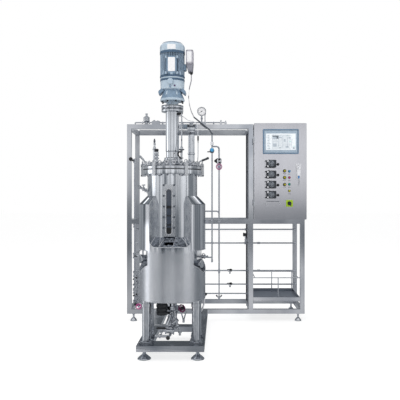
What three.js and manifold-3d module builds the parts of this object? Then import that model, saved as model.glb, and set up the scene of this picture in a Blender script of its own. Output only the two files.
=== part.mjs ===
// Pilot-scale stirred tank bioreactor on a tube skid with a control cabinet.
// Millimetres, +Z up, the vessel side faces -Y, X runs left to right.
import * as THREE from "three";
import Module from "manifold-3d";
import { mergeVertices } from "three/addons/utils/BufferGeometryUtils.js";

const wasm = await Module();
wasm.setup();

// ---- skid -------------------------------------------------------------
const TUBE = 40;
const HALF_WIDTH = 800;
const FRAME_FRONT = 382;
const FRAME_REAR = 934;
const MID_POST = 296;
const LOW_RAIL = 66;
const MID_RAIL = 875;
const TOP_RAIL = 1732;

// ---- vessel stand -----------------------------------------------------
const VESSEL_X = -302;
const VESSEL_Y = -734;
const BASE_HALF = 230;
const BASE_FRONT = VESSEL_Y - 200;
const FRONT_BEAM = 150;
const SIDE_BEAM = 100;
const LEG_X = 172;
const LEG_Y = 95;
const LEG_R = 30;
const FOOT_PLATE = 88;
const PLATE_THICK = 8;
const BELL_R = 30;

// ---- vessel -----------------------------------------------------------
const ROUND = 24;
const SHELL_R = 175;
const JACKET_WALL = 25;
const BORE_R = SHELL_R - JACKET_WALL;
const CLAD_R = 233;
const CLAD_LOW = 398;
const CLAD_TOP = 1062;
const CLAD_NECK = CLAD_TOP + CLAD_R - SHELL_R - 3;
const RECESS_SLOPE = 1.11;
const POCKET_TOP = 745;
const POCKET_FLOOR = 655;
const FLANGE_R = 209;
const FLANGE_LOW = 1268;
const FLANGE_TOP = 1299;
const CLAMP_REACH = 14;
const GASKET = 4;
const LID_PLATE = 20;
const LID_TOP = 1372;
const GAP = 0.3;

// ---- drive ------------------------------------------------------------
const SHAFT_R = 12;
const LANTERN_R = 47.5;
const LANTERN_TOP = 1755;
const GEAR_TOP = 1950;
const MOTOR_R = 86;
const MOTOR_TOP = 2195;
const IMPELLER_R = 55;

// ---- cabinet ----------------------------------------------------------
const CAB_LEFT = MID_POST + TUBE + 5;
const CAB_RIGHT = HALF_WIDTH;
const CAB_FRONT = 330;
const CAB_REAR = 640;
const CAB_TOP = TOP_RAIL + TUBE + 2;
const CAB_WALL = 6;
const SCREEN = { left: 417, right: 734, low: 1498, high: 1718, rim: 19 };
const DOOR_FRONT = 305;
const PUMP_X = 437;
const PUMP_W = 136;
const PUMP_H = 77;
const PUMP_Z = [1409, 1315, 1226, 1137];
const SELECTOR_X = 610;
const SELECTOR_Z = [1348, 1289, 1227];
const LAMP_X = 652;
const LAMP_Z = [1345, 1289, 1229, 1171];
const SWITCH = [653, 1060];
const LOCK = [732, 1340];

// ---- pipework ---------------------------------------------------------
const FEED_Y = FRAME_FRONT - TUBE;
const FEED_A = -34;
const FEED_B = 29;
const MANIFOLD_R = 7;
const MANIFOLD_Y = FRAME_REAR - TUBE - MANIFOLD_R - 1;
const MANIFOLD_Z = [168, 260, 394, 666, 800];
const RISER_X = -HALF_WIDTH + TUBE + 22;
const SHELF_LOW = 177;
const GUARD_Z = 388;
const GUARD_R = 4.5;

// Front edge of the cladding and rear edge of the feet are centred on Y = 0.
const SHIFT_Y = -(FRAME_REAR - TUBE / 2 + BELL_R + VESSEL_Y - CLAD_R) / 2;

// ---- solids -----------------------------------------------------------
function welded(geometry) {
  const bare = geometry.clone();
  bare.deleteAttribute("normal");
  bare.deleteAttribute("uv");
  return mergeVertices(bare, 1e-3);
}

function solid(geometry) {
  const merged = geometry.index && !geometry.attributes.uv ? geometry : welded(geometry);
  const points = merged.attributes.position.array;
  const source = merged.index.array;
  const tri = [];
  for (let i = 0; i < source.length; i += 3) {
    const [a, b, c] = [source[i], source[i + 1], source[i + 2]];
    if (a !== b && b !== c && c !== a) tri.push(a, b, c);
  }
  if (signedVolume(points, tri) < 0) tri.reverse();
  const mesh = new wasm.Mesh({
    numProp: 3,
    vertProperties: new Float32Array(points),
    triVerts: new Uint32Array(tri),
  });
  return new wasm.Manifold(mesh);
}

function signedVolume(p, tri) {
  let sum = 0;
  for (let i = 0; i < tri.length; i += 3) {
    const a = new THREE.Vector3().fromArray(p, tri[i] * 3);
    const b = new THREE.Vector3().fromArray(p, tri[i + 1] * 3);
    const c = new THREE.Vector3().fromArray(p, tri[i + 2] * 3);
    sum += a.dot(b.cross(c));
  }
  return sum;
}

const join = (...list) => list.flat().reduce((a, b) => a.add(b));
const cut = (a, ...list) => list.flat().reduce((s, b) => s.subtract(b), a);

function box(x0, x1, y0, y1, z0, z1) {
  const g = new THREE.BoxGeometry(x1 - x0, y1 - y0, z1 - z0);
  g.translate((x0 + x1) / 2, (y0 + y1) / 2, (z0 + z1) / 2);
  return solid(g);
}

// Facets round a bar of radius r.
function sides(r) {
  if (r < 9.5) return 6;
  if (r < 20) return 8;
  return r < 60 ? 12 : 18;
}

// A profile of [radius, height] pairs turned about `axis` through `origin`.
function turned(profile, origin, axis = [0, 0, 1], seg = ROUND) {
  const line = profile.map(([r, h]) => new THREE.Vector2(r, h));
  const g = welded(new THREE.LatheGeometry(line, seg));
  const dir = new THREE.Vector3(...axis).normalize();
  if (dir.z > 0.999) g.rotateX(Math.PI / 2);
  else g.applyQuaternion(new THREE.Quaternion().setFromUnitVectors(new THREE.Vector3(0, 1, 0), dir));
  g.translate(...origin);
  return solid(g);
}

function rod(from, to, r, seg = sides(r)) {
  const a = new THREE.Vector3(...from);
  const dir = new THREE.Vector3(...to).sub(a);
  const length = dir.length();
  return turned([[0, 0], [r, 0], [r, length], [0, length]], from, dir.toArray(), seg);
}

function ring(outer, inner, h0, h1, origin, axis, seg) {
  return turned([[inner, h0], [outer, h0], [outer, h1], [inner, h1], [inner, h0]], origin, axis, seg);
}

// A corner route with every corner rounded to `bend`.
function roundedRoute(points, bend, steps = 4) {
  const p = points.map((q) => new THREE.Vector3(...q));
  const out = [p[0]];
  for (let i = 1; i < p.length - 1; i += 1) {
    const back = p[i - 1].clone().sub(p[i]);
    const next = p[i + 1].clone().sub(p[i]);
    const reach = Math.min(bend, back.length() * 0.45, next.length() * 0.45);
    const a = p[i].clone().addScaledVector(back.normalize(), reach);
    const b = p[i].clone().addScaledVector(next.normalize(), reach);
    const arc = new THREE.QuadraticBezierCurve3(a, p[i], b);
    out.push(...arc.getPoints(steps));
  }
  out.push(p[p.length - 1]);
  return out;
}

class Route extends THREE.Curve {
  constructor(points) {
    super();
    this.points = points;
  }

  at(i) {
    return this.points[Math.max(0, Math.min(this.points.length - 1, i))];
  }

  getPointAt(u) {
    return this.at(Math.round(u * (this.points.length - 1))).clone();
  }

  getPoint(u) {
    return this.getPointAt(u);
  }

  getTangentAt(u) {
    const i = Math.round(u * (this.points.length - 1));
    const before = this.at(i).clone().sub(this.at(i - 1)).normalize();
    const after = this.at(i + 1).clone().sub(this.at(i)).normalize();
    return before.add(after).normalize();
  }
}

function pipe(points, r, bend = 30, seg = sides(r), steps = 3) {
  const route = new Route(roundedRoute(points, bend, steps));
  const circle = [];
  for (let i = 0; i < seg; i += 1) {
    const t = (i / seg) * 2 * Math.PI;
    circle.push(new THREE.Vector2(r * Math.cos(t), r * Math.sin(t)));
  }
  const g = new THREE.ExtrudeGeometry(new THREE.Shape(circle), {
    steps: route.points.length - 1,
    extrudePath: route,
    bevelEnabled: false,
  });
  return solid(g);
}

// A flat outline in X and Z carried from Y = y0 to y1.
function facePlate(outline, y0, y1) {
  const g = new THREE.ExtrudeGeometry(new THREE.Shape(outline), { depth: y1 - y0, bevelEnabled: false });
  g.rotateX(Math.PI / 2);
  g.translate(0, y1, 0);
  return solid(g);
}

// A plan outline in X and Y carried from Z = z0 to z1.
function prism(outline, z0, z1) {
  const shape = new THREE.Shape(outline.map(([x, y]) => new THREE.Vector2(x, y)));
  const g = new THREE.ExtrudeGeometry(shape, { depth: z1 - z0, bevelEnabled: false });
  g.translate(0, 0, z0);
  return solid(g);
}

function slotOutline(x, half, z0, z1, seg = 8) {
  const out = [];
  for (let i = 0; i <= seg; i += 1) {
    const t = Math.PI + (i / seg) * Math.PI;
    out.push(new THREE.Vector2(x + half * Math.cos(t), z0 + half + half * Math.sin(t)));
  }
  for (let i = 0; i <= seg; i += 1) {
    const t = (i / seg) * Math.PI;
    out.push(new THREE.Vector2(x + half * Math.cos(t), z1 - half + half * Math.sin(t)));
  }
  return out;
}

// Point on a circle about the vessel axis, `deg` measured from the front.
function around(r, deg, z) {
  const t = THREE.MathUtils.degToRad(deg);
  return [VESSEL_X + r * Math.sin(t), VESSEL_Y - r * Math.cos(t), z];
}

function turnAboutVessel(s, deg) {
  return s.translate([-VESSEL_X, -VESSEL_Y, 0]).rotate([0, 0, deg]).translate([VESSEL_X, VESSEL_Y, 0]);
}

const AXIS = [VESSEL_X, VESSEL_Y, 0];
const group = new THREE.Group();

function piece(name, body, color, metalness = 0.9, roughness = 0.35) {
  const m = body.getMesh();
  const g = new THREE.BufferGeometry();
  g.setAttribute("position", new THREE.BufferAttribute(new Float32Array(m.vertProperties), 3));
  g.setIndex(new THREE.BufferAttribute(new Uint32Array(m.triVerts), 1));
  g.translate(0, SHIFT_Y, 0);
  g.computeVertexNormals();
  const mesh = new THREE.Mesh(g, new THREE.MeshStandardMaterial({ color, metalness, roughness }));
  mesh.name = name;
  group.add(mesh);
}

const STEEL = 0xb9babf;
const POLISHED = 0xc9ccd2;
const DARK = 0x3b3f47;
const BLACK = 0x1e2024;

// ---- skid frame -------------------------------------------------------
function ladder(y0) {
  const y1 = y0 + TUBE;
  const left = -HALF_WIDTH;
  return join(
    box(left, left + TUBE, y0, y1, LOW_RAIL, TOP_RAIL + TUBE),
    box(MID_POST, MID_POST + TUBE, y0, y1, LOW_RAIL, TOP_RAIL + TUBE),
    box(HALF_WIDTH - TUBE, HALF_WIDTH, y0, y1, LOW_RAIL, MID_RAIL + TUBE),
    box(left, HALF_WIDTH, y0, y1, LOW_RAIL, LOW_RAIL + TUBE),
    box(left, HALF_WIDTH, y0, y1, MID_RAIL, MID_RAIL + TUBE),
    box(left, MID_POST + TUBE, y0, y1, TOP_RAIL, TOP_RAIL + TUBE),
  );
}

function skid() {
  piece("front_frame", ladder(FRAME_FRONT), STEEL);
  piece("rear_frame", ladder(FRAME_REAR - TUBE), STEEL);
  const columns = [-HALF_WIDTH, MID_POST, HALF_WIDTH - TUBE];
  const levels = [["low", LOW_RAIL, 3], ["mid", MID_RAIL, 3], ["top", TOP_RAIL, 2]];
  for (const [level, z, count] of levels) {
    for (let i = 0; i < count; i += 1) {
      const x = columns[i];
      const bar = box(x, x + TUBE, FRAME_FRONT + TUBE, FRAME_REAR - TUBE, z, z + TUBE);
      piece(`cross_${level}_${i + 1}`, bar, STEEL);
    }
  }
}

function stand() {
  const left = VESSEL_X - BASE_HALF;
  const right = VESSEL_X + BASE_HALF;
  const top = LOW_RAIL + TUBE;
  const frame = join(
    box(left, right, BASE_FRONT, BASE_FRONT + FRONT_BEAM, LOW_RAIL, top),
    box(left, left + SIDE_BEAM, BASE_FRONT, FRAME_FRONT, LOW_RAIL, top),
    box(right - SIDE_BEAM, right, BASE_FRONT, FRAME_FRONT, LOW_RAIL, top),
    box(left, right, -338, -238, LOW_RAIL, top),
  );
  piece("base_frame", frame, STEEL);
  const disc = [[0, 0], [46, 0], [46, 8], [38, 15], [22, 20], [13, 24], [13, LOW_RAIL], [0, LOW_RAIL]];
  piece("base_foot_left", turned(disc, [VESSEL_X - 183, BASE_FRONT + 72, 0], [0, 0, 1], 12), POLISHED);
  piece("base_foot_right", turned(disc, [VESSEL_X + 183, BASE_FRONT + 72, 0], [0, 0, 1], 12), POLISHED);
  const bell = [[0, 0], [BELL_R, 0], [BELL_R, 6], [20, 24], [11, 32], [8, 36], [8, LOW_RAIL], [0, LOW_RAIL]];
  const inset = TUBE + 18;
  const reach = HALF_WIDTH - inset;
  const spots = [FRAME_FRONT, FRAME_REAR - TUBE].flatMap((y) => [[-reach, y], [reach, y]]);
  spots.forEach(([x, y], i) => {
    piece(`frame_foot_${i + 1}`, turned(bell, [x, y + TUBE / 2, 0], [0, 0, 1], 12), POLISHED);
  });
  legs(top);
}

function legs(floor) {
  let count = 0;
  for (const dy of [-LEG_Y, LEG_Y]) {
    for (const dx of [-LEG_X, LEG_X]) {
      const x = VESSEL_X + dx;
      const y = VESSEL_Y + dy;
      const h = FOOT_PLATE / 2;
      const parts = [box(x - h, x + h, y - h, y + h, floor, floor + PLATE_THICK)];
      parts.push(rod([x, y, floor + 1], [x, y, CLAD_LOW], LEG_R));
      count += 1;
      piece(`vessel_leg_${count}`, join(parts), POLISHED, 0.95, 0.25);
    }
  }
}

// ---- vessel -----------------------------------------------------------
const NOZZLE_LOW = 330;
const SIGHT_X = VESSEL_X - 8;
const SIGHT_LOW = 843;
const SIGHT_HIGH = 1195;

function radialPort(deg, z, tubeR, capR, reach, rise = 0) {
  const start = around(SHELL_R - 12, deg, z);
  const end = around(reach, deg, z + rise);
  const capStart = around(reach - 12, deg, z + rise * ((reach - 12 - SHELL_R) / (reach - SHELL_R)));
  return [rod(start, end, tubeR), rod(capStart, end, capR)];
}

function shell() {
  const top = FLANGE_TOP;
  const profile = [
    [22, NOZZLE_LOW], [50, NOZZLE_LOW], [50, NOZZLE_LOW + 14], [32, NOZZLE_LOW + 14], [32, 410],
    [SHELL_R - 87, 416], [SHELL_R - 35, 436], [SHELL_R - 11, 460], [SHELL_R, 500], [SHELL_R, FLANGE_LOW],
    [FLANGE_R, FLANGE_LOW], [FLANGE_R, top], [BORE_R, top], [BORE_R, 508],
    [BORE_R - 12, 474], [BORE_R - 38, 452], [BORE_R - 82, 436], [22, 428], [22, NOZZLE_LOW],
  ];
  const outline = slotOutline(SIGHT_X, 12, SIGHT_LOW + 20, SIGHT_HIGH - 38);
  const slot = facePlate(outline, VESSEL_Y - SHELL_R - 15, VESSEL_Y - BORE_R + 20);
  let body = turned(profile, AXIS);
  body = join(body, radialPort(-66, 683, 19, 31, 238), radialPort(64, 650, 19, 31, 238));
  body = join(body, radialPort(-78, CLAD_NECK + 33, 12, 20, 240, 34));
  piece("vessel_shell", cut(body, slot), POLISHED, 1, 0.12);
}

function wedge(from, to, r = 420) {
  const mid = (from + to) / 2;
  const points = [from, mid, to].map((deg) => around(r, deg, 0).slice(0, 2));
  return prism([[VESSEL_X, VESSEL_Y], ...points], 300, 1400);
}

function cladding() {
  const inner = SHELL_R + GAP;
  const profile = [
    [60, CLAD_LOW], [CLAD_R, CLAD_LOW], [CLAD_R, CLAD_TOP], [inner + 3, CLAD_NECK], [inner, CLAD_NECK],
    [inner, CLAD_LOW + 6], [60, CLAD_LOW + 6], [60, CLAD_LOW],
  ];
  let body = turned(profile, AXIS);
  const near = BORE_R;
  const far = CLAD_R + 27;
  const drop = (far - near) * RECESS_SLOPE;
  const edge = SIGHT_LOW + 21;
  const sill = [[near, edge], [far, edge - drop], [far, 1300], [near, 1300], [near, edge]];
  const pane = facePlate(paneOutline(142, 770, 1300, 46), VESSEL_Y - 300, VESSEL_Y);
  body = cut(body, turned(sill, AXIS).intersect(wedge(-38, 38)).intersect(pane));
  const pocket = [
    [near, POCKET_TOP], [far, POCKET_TOP],
    [far, POCKET_FLOOR - drop], [near, POCKET_FLOOR], [near, POCKET_TOP],
  ];
  const reach = join(wedge(-121, -42), wedge(42, 121)).intersect(pocketSide());
  body = cut(body, turned(pocket, AXIS).intersect(reach));
  piece("cladding", body, POLISHED, 1, 0.1);
}

// Seen from the side, the floor of a pocket dips below the port and rises towards the back.
function pocketSide() {
  const low = POCKET_FLOOR;
  const top = POCKET_TOP;
  const side = [[-200, top], [-200, low + 10], [-80, low - 69], [-20, low - 61], [150, low + 26], [150, top]];
  const outline = side.map(([y, z]) => new THREE.Vector2(y, z));
  const g = new THREE.ExtrudeGeometry(new THREE.Shape(outline), { depth: 4 * CLAD_R, bevelEnabled: false });
  g.rotateX(Math.PI / 2);
  g.rotateZ(Math.PI / 2);
  g.translate(VESSEL_X - 2 * CLAD_R, VESSEL_Y, 0);
  return solid(g);
}

function paneOutline(half, low, high, corner) {
  const out = [];
  for (const side of [-1, 1]) {
    const centre = VESSEL_X + side * (half - corner);
    for (let i = 0; i <= 5; i += 1) {
      const t = Math.PI * (side < 0 ? 1 : 1.5) + (i / 10) * Math.PI;
      out.push(new THREE.Vector2(centre + corner * Math.cos(t), low + corner + corner * Math.sin(t)));
    }
  }
  out.push(new THREE.Vector2(VESSEL_X + half, high), new THREE.Vector2(VESSEL_X - half, high));
  return out;
}

function sightGlass() {
  const face = VESSEL_Y - SHELL_R - 22;
  const back = VESSEL_Y - 120;
  const neck = rod([VESSEL_X, VESSEL_Y, 600], [VESSEL_X, VESSEL_Y, 1400], SHELL_R + GAP, ROUND);
  const plate = box(SIGHT_X - 40, SIGHT_X + 40, face, back, SIGHT_LOW, SIGHT_HIGH);
  const rim = facePlate(slotOutline(SIGHT_X, 25, SIGHT_LOW + 8, SIGHT_HIGH - 25), face - 5, back);
  const slot = facePlate(slotOutline(SIGHT_X, 17, SIGHT_LOW + 15, SIGHT_HIGH - 33), face - 20, back);
  piece("sight_frame", cut(join(plate, rim), slot, neck), POLISHED, 1, 0.15);
  const clear = slotOutline(SIGHT_X, 17 - GAP, SIGHT_LOW + 15 + GAP, SIGHT_HIGH - 33 - GAP);
  const pane = facePlate(clear, face + 3, back);
  piece("sight_glass", cut(pane, neck), 0x2b3038, 0.1, 0.1);
}

// ---- lid --------------------------------------------------------------
const LID_LOW = FLANGE_TOP + GASKET;
const LID_FACE = LID_LOW + LID_PLATE;
const CONDENSER = [VESSEL_X + 131, VESSEL_Y + 60];

function lid() {
  piece("lid_gasket", ring(FLANGE_R - 3, BORE_R, FLANGE_TOP, LID_LOW, AXIS, [0, 0, 1], ROUND), BLACK, 0, 0.8);
  const profile = [
    [SHAFT_R + 1, LID_LOW + 26], [SHAFT_R + 1, LID_TOP], [62, LID_TOP], [62, LID_TOP - 12],
    [FLANGE_R - 99, LID_FACE + 26], [FLANGE_R - 49, LID_FACE + 12], [FLANGE_R - 27, LID_FACE],
    [FLANGE_R, LID_FACE], [FLANGE_R, LID_LOW], [BORE_R, LID_LOW], [BORE_R - 10, LID_LOW + 8],
    [BORE_R - 50, LID_LOW + 18], [BORE_R - 100, LID_LOW + 26],
    [SHAFT_R + 1, LID_LOW + 26],
  ];
  const parts = [turned(profile, AXIS)];
  parts.push(...lidPorts());
  parts.push(lidLever(1, [50, 56]), lidLever(-1, [24, 68]));
  piece("lid", join(parts), POLISHED, 1, 0.15);
}

function lidPorts() {
  const [cx, cy] = CONDENSER;
  const ports = [rod([cx, cy, LID_FACE], [cx, cy, LID_FACE + 32], 27)];
  const tall = [VESSEL_X - 127, VESSEL_Y];
  ports.push(rod([...tall, LID_FACE], [...tall, 1462], 10.5));
  ports.push(rod([...tall, 1446], [...tall, 1454], 14));
  ports.push(rod([...tall, 1460], [...tall, 1524], 4.5));
  const capped = [VESSEL_X - 106, VESSEL_Y - 66];
  ports.push(rod([...capped, LID_FACE], [...capped, 1420], 12));
  ports.push(rod([...capped, 1392], [...capped, 1408], 18));
  ports.push(rod([...capped, 1420], [...capped, 1446], 15));
  const gas = [VESSEL_X + 68, VESSEL_Y - 60];
  const rear = [gas[0], gas[1] + 20];
  ports.push(pipe([[...gas, LID_FACE], [...gas, 1460], [...rear, 1500], [...rear, 1700]], 5, 20));
  ports.push(rod([...gas, 1440], [...gas, 1462], 11));
  const hook = [VESSEL_X + 46, VESSEL_Y - 96];
  const tip = [hook[0] + 30, hook[1]];
  ports.push(pipe([[...hook, LID_FACE + 5], [...hook, 1424], [...tip, 1424], [...tip, 1395]], 6, 16));
  return ports;
}

function lidLever(side, [reach, rise]) {
  const root = [VESSEL_X + side * (FLANGE_R - 22), VESSEL_Y - 40, LID_FACE - 4];
  const knee = [root[0], root[1], LID_FACE + 34];
  const end = [VESSEL_X + side * (FLANGE_R + reach - 14), VESSEL_Y - 40, LID_FACE + rise];
  const grip = rod([end[0] - side * 4, end[1], end[2]], [end[0] + side * 14, end[1], end[2] + 6], 9);
  return join(pipe([root, knee, end], 6), grip);
}

function lidClamp(i) {
  const x = VESSEL_X;
  const y = VESSEL_Y;
  const outer = FLANGE_R + CLAMP_REACH;
  const body = join(
    box(x - 12, x + 12, y - outer, y - FLANGE_R - 1, FLANGE_LOW - 13, LID_FACE + 22),
    box(x - 12, x + 12, y - outer, y - FLANGE_R + 15, FLANGE_LOW - 13, FLANGE_LOW),
    box(x - 12, x + 12, y - outer, y - FLANGE_R + 15, LID_FACE, LID_FACE + 14),
    ring(14, 7, -5, 5, [x, y - FLANGE_R - 2, LID_FACE + 30], [0, 1, 0], 10),
  );
  piece(`lid_clamp_${i + 1}`, turnAboutVessel(body, 30 + 60 * i), 0x9a9ea6);
}

function condenser() {
  const [x, y] = CONDENSER;
  const low = LID_FACE + 32;
  const profile = [
    [0, low], [30, low], [30, low + 10], [23, low + 14], [23, low + 60], [26, low + 62], [26, low + 72],
    [23, low + 74], [23, 1588], [28, 1592], [28, 1610], [14, 1614], [14, 1640], [0, 1640],
  ];
  const arm = box(VESSEL_X + LANTERN_R - 6, x, y - 66, y - 48, 1560, 1574);
  const link = box(x - 9, x + 9, y - 66, y, 1560, 1574);
  const wings = box(x - 34, x + 34, y - 5, y + 5, 1618, 1634);
  const sleeve = rod([VESSEL_X, VESSEL_Y, 1500], [VESSEL_X, VESSEL_Y, 1650], LANTERN_R + GAP, 24);
  const body = turned(profile, [x, y, 0], [0, 0, 1], 14);
  piece("condenser", cut(join(body, arm, link, wings), sleeve), POLISHED);
}

// ---- drive train ------------------------------------------------------
function lantern() {
  const top = LANTERN_TOP;
  const profile = [
    [30, LID_TOP], [58, LID_TOP], [58, LID_TOP + 12], [44, LID_TOP + 14], [44, 1430], [LANTERN_R, 1434],
    [LANTERN_R, top - 43], [77.5, top - 43], [77.5, top - 25], [62, top - 24], [62, top - 19],
    [77.5, top - 18], [77.5, top], [30, top], [30, LID_TOP],
  ];
  piece("lantern", turned(profile, AXIS, [0, 0, 1], 20), POLISHED, 0.95, 0.25);
}

function gearUnit() {
  const low = LANTERN_TOP;
  const profile = [
    [SHAFT_R + 1, low], [42, low], [42, low + 30], [84, low + 32], [86, low + 44], [78, low + 58],
    [64, low + 96], [64, low + 108], [82, low + 114], [85, low + 165], [85, GEAR_TOP],
    [0, GEAR_TOP], [0, low + 45], [SHAFT_R + 1, low + 45], [SHAFT_R + 1, low],
  ];
  const parts = [turned(profile, AXIS, [0, 0, 1], 18)];
  for (const side of [-1, 1]) {
    const outline = [[58, 104], [66, 122], [97, 92], [94, 76]];
    const wing = outline.map(([x, z]) => new THREE.Vector2(VESSEL_X + side * x, low + z));
    parts.push(facePlate(wing, VESSEL_Y - 40, VESSEL_Y + 40));
  }
  for (let i = 0; i < 6; i += 1) {
    const rib = box(VESSEL_X - 4, VESSEL_X + 4, VESSEL_Y - 82, VESSEL_Y - 58, low + 36, low + 116);
    parts.push(turnAboutVessel(rib, 30 + i * 60));
  }
  const face = [VESSEL_X - 10, VESSEL_Y];
  parts.push(rod([...face, low + 170], [face[0], face[1] - 98, low + 170], 21));
  parts.push(rod([...face, low + 134], [face[0], face[1] - 92, low + 134], 7));
  parts.push(rod([face[0] + 32, face[1], low + 142], [face[0] + 32, face[1] - 92, low + 142], 7));
  piece("gear_unit", join(parts), 0xa9bbc9, 0.2, 0.5);
}

function motor() {
  const fins = 20;
  const outline = [];
  for (let i = 0; i < fins; i += 1) {
    for (const [part, r] of [[0, MOTOR_R], [0.3, MOTOR_R], [0.42, MOTOR_R - 9], [0.88, MOTOR_R - 9]]) {
      const t = ((i + part) / fins) * 2 * Math.PI;
      outline.push([VESSEL_X + r * Math.cos(t), VESSEL_Y + r * Math.sin(t)]);
    }
  }
  const body = prism(outline, GEAR_TOP + 14, MOTOR_TOP - 62);
  const base = [VESSEL_X, VESSEL_Y, GEAR_TOP];
  const foot = turned([[0, 0], [88, 0], [88, 14], [80, 18], [0, 18]], base, [0, 0, 1], 20);
  const cap = MOTOR_TOP - GEAR_TOP;
  const cowl = [
    [0, cap - 66], [88, cap - 66], [88, cap - 30], [84, cap - 16], [72, cap - 7], [40, cap - 1], [0, cap],
  ];
  const plate = box(VESSEL_X - 40, VESSEL_X + 42, VESSEL_Y - 92, VESSEL_Y, 1990, 2112);
  const parts = [body, foot, turned(cowl, [VESSEL_X, VESSEL_Y, GEAR_TOP], [0, 0, 1], 20), plate];
  for (const x of [-32, 34]) {
    for (const z of [2000, 2102]) {
      parts.push(rod([VESSEL_X + x, VESSEL_Y, z], [VESSEL_X + x, VESSEL_Y - 98, z], 9));
    }
  }
  parts.push(box(VESSEL_X + 60, VESSEL_X + 97, VESSEL_Y - 30, VESSEL_Y + 30, 2000, 2046));
  piece("motor", join(parts), 0x8ba0b5, 0.3, 0.5);
  const x0 = VESSEL_X + 97;
  const boxBody = join(
    box(x0, x0 + 52, VESSEL_Y - 45, VESSEL_Y + 45, 2040, 2144),
    taperBlock(x0, x0 + 52, VESSEL_Y, 45, 1990, 2041),
    rod([x0 + 37, VESSEL_Y, 1976], [x0 + 37, VESSEL_Y, 1996], 9),
  );
  piece("terminal_box", boxBody, 0xb5b3bb, 0.2, 0.55);
}

function taperBlock(x0, x1, y, half, z0, z1) {
  const outline = [[x0 + 18, z0], [x1 - 4, z0], [x1, z1], [x0, z1]].map(([x, z]) => new THREE.Vector2(x, z));
  return facePlate(outline, y - half, y + half);
}

function agitator() {
  const parts = [rod([VESSEL_X, VESSEL_Y, 470], [VESSEL_X, VESSEL_Y, LANTERN_TOP + 40], SHAFT_R)];
  for (const z of [540, 760]) {
    parts.push(rod([VESSEL_X, VESSEL_Y, z - 16], [VESSEL_X, VESSEL_Y, z + 16], 20));
    parts.push(rod([VESSEL_X, VESSEL_Y, z - 2], [VESSEL_X, VESSEL_Y, z + 2], IMPELLER_R * 0.75, 14));
    for (let i = 0; i < 6; i += 1) {
      const r = IMPELLER_R;
      const blade = box(VESSEL_X - 1.5, VESSEL_X + 1.5, VESSEL_Y - r, VESSEL_Y - r * 0.55, z - 13, z + 13);
      parts.push(turnAboutVessel(blade, i * 60));
    }
  }
  piece("agitator", join(parts), POLISHED);
}

const CABLE = [
  [-168, -734, 1975.5], [-168, -730, 1935], [-187, -638, 1901], [-203, -438, 1871],
  [-210, -158, 1856], [-208, 112, 1845], [-197, 320, 1832],
];

function motorCable() {
  const last = CABLE[CABLE.length - 1];
  const route = [...CABLE.slice(0, -1), last];
  piece("motor_cable", pipe(route, 4, 40, 8, 3), BLACK, 0, 0.7);
}

// ---- valves and pipes -------------------------------------------------
function handwheel(centre, axis, r, thick, spokes = 3) {
  const rim = turned([
    [r - thick, -thick / 2], [r - thick * 0.2, -thick / 2], [r, 0], [r - thick * 0.2, thick / 2],
    [r - thick, thick / 2], [r - thick, -thick / 2],
  ], centre, axis, 14);
  const boss = r * 0.34;
  const hub = turned([[0, -thick], [boss, -thick], [boss, thick * 0.8], [0, thick * 0.8]], centre, axis, 8);
  const parts = [rim, hub];
  const up = new THREE.Vector3(0, 1, 0);
  const q = new THREE.Quaternion().setFromUnitVectors(up, new THREE.Vector3(...axis).normalize());
  for (let i = 0; i < spokes; i += 1) {
    const t = (i / spokes) * 2 * Math.PI + 0.5;
    const out = new THREE.Vector3(Math.cos(t), 0, Math.sin(t)).applyQuaternion(q);
    out.multiplyScalar(r - thick * 0.5);
    parts.push(rod(centre, out.add(new THREE.Vector3(...centre)).toArray(), thick * 0.32, 8));
  }
  return join(parts);
}

const WHEEL_DIR = new THREE.Vector3(83, -104, 55).normalize().toArray();

function along(from, dir, d) {
  return from.map((v, i) => v + dir[i] * d);
}

function bottomValve() {
  const x = VESSEL_X;
  const y = VESSEL_Y;
  const low = NOZZLE_LOW;
  const column = turned([
    [0, 150], [14, 150], [14, 196], [26, 200], [26, 236], [21, 240], [21, 268], [34, 274], [34, 306],
    [22, 310], [22, low - 12], [48, low - 12], [48, low], [0, low],
  ], [x, y, 0], [0, 0, 1], 14);
  const stemEnd = along([x, y, 292], WHEEL_DIR, 116);
  const parts = [column, rod([x, y, 292], stemEnd, 10)];
  parts.push(rod(along([x, y, 292], WHEEL_DIR, 20), along([x, y, 292], WHEEL_DIR, 50), 15.5));
  parts.push(rod([x, y, 216], [x - 4, y - 110, 196], 13));
  parts.push(rod([x - 3, y - 78, 202], [x - 5, y - 116, 195], 19));
  const spout = [x + 60, y - 110];
  parts.push(pipe([[x, y - 20, 212], [x + 40, y - 90, 212], [...spout, 212], [...spout, 158]], 8, 22));
  parts.push(pipe([[x, y, 170], [x - 10, y - 130, 157], [x - 106, y - 130, 157]], 9, 24));
  parts.push(rod([x - 18, y - 130, 154], [x - 18, y - 142, 152], 8));
  parts.push(ball([x - 18, y - 154, 150], 14));
  const can = turned([[0, 0], [34, 0], [40, 6], [40, 22], [35, 26], [40, 30], [40, 48], [35, 52], [40, 56],
    [40, 74], [35, 78], [40, 82], [40, 100], [32, 106], [0, 106]], [x - 67, y - 67, 291], [0, 0, 1], 12);
  parts.push(can, rod([x - 67, y - 67, 310], [x, y, 290], 9));
  piece("bottom_valve", join(parts), POLISHED, 0.95, 0.2);
  const hub = along(stemEnd, WHEEL_DIR, GAP + 9);
  piece("bottom_handwheel", handwheel(hub, WHEEL_DIR, 29, 9), 0x5a1f45, 0.1, 0.4);
}

function ball(centre, r) {
  const g = welded(new THREE.SphereGeometry(r, 8, 6));
  g.translate(...centre);
  return solid(g);
}

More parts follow.
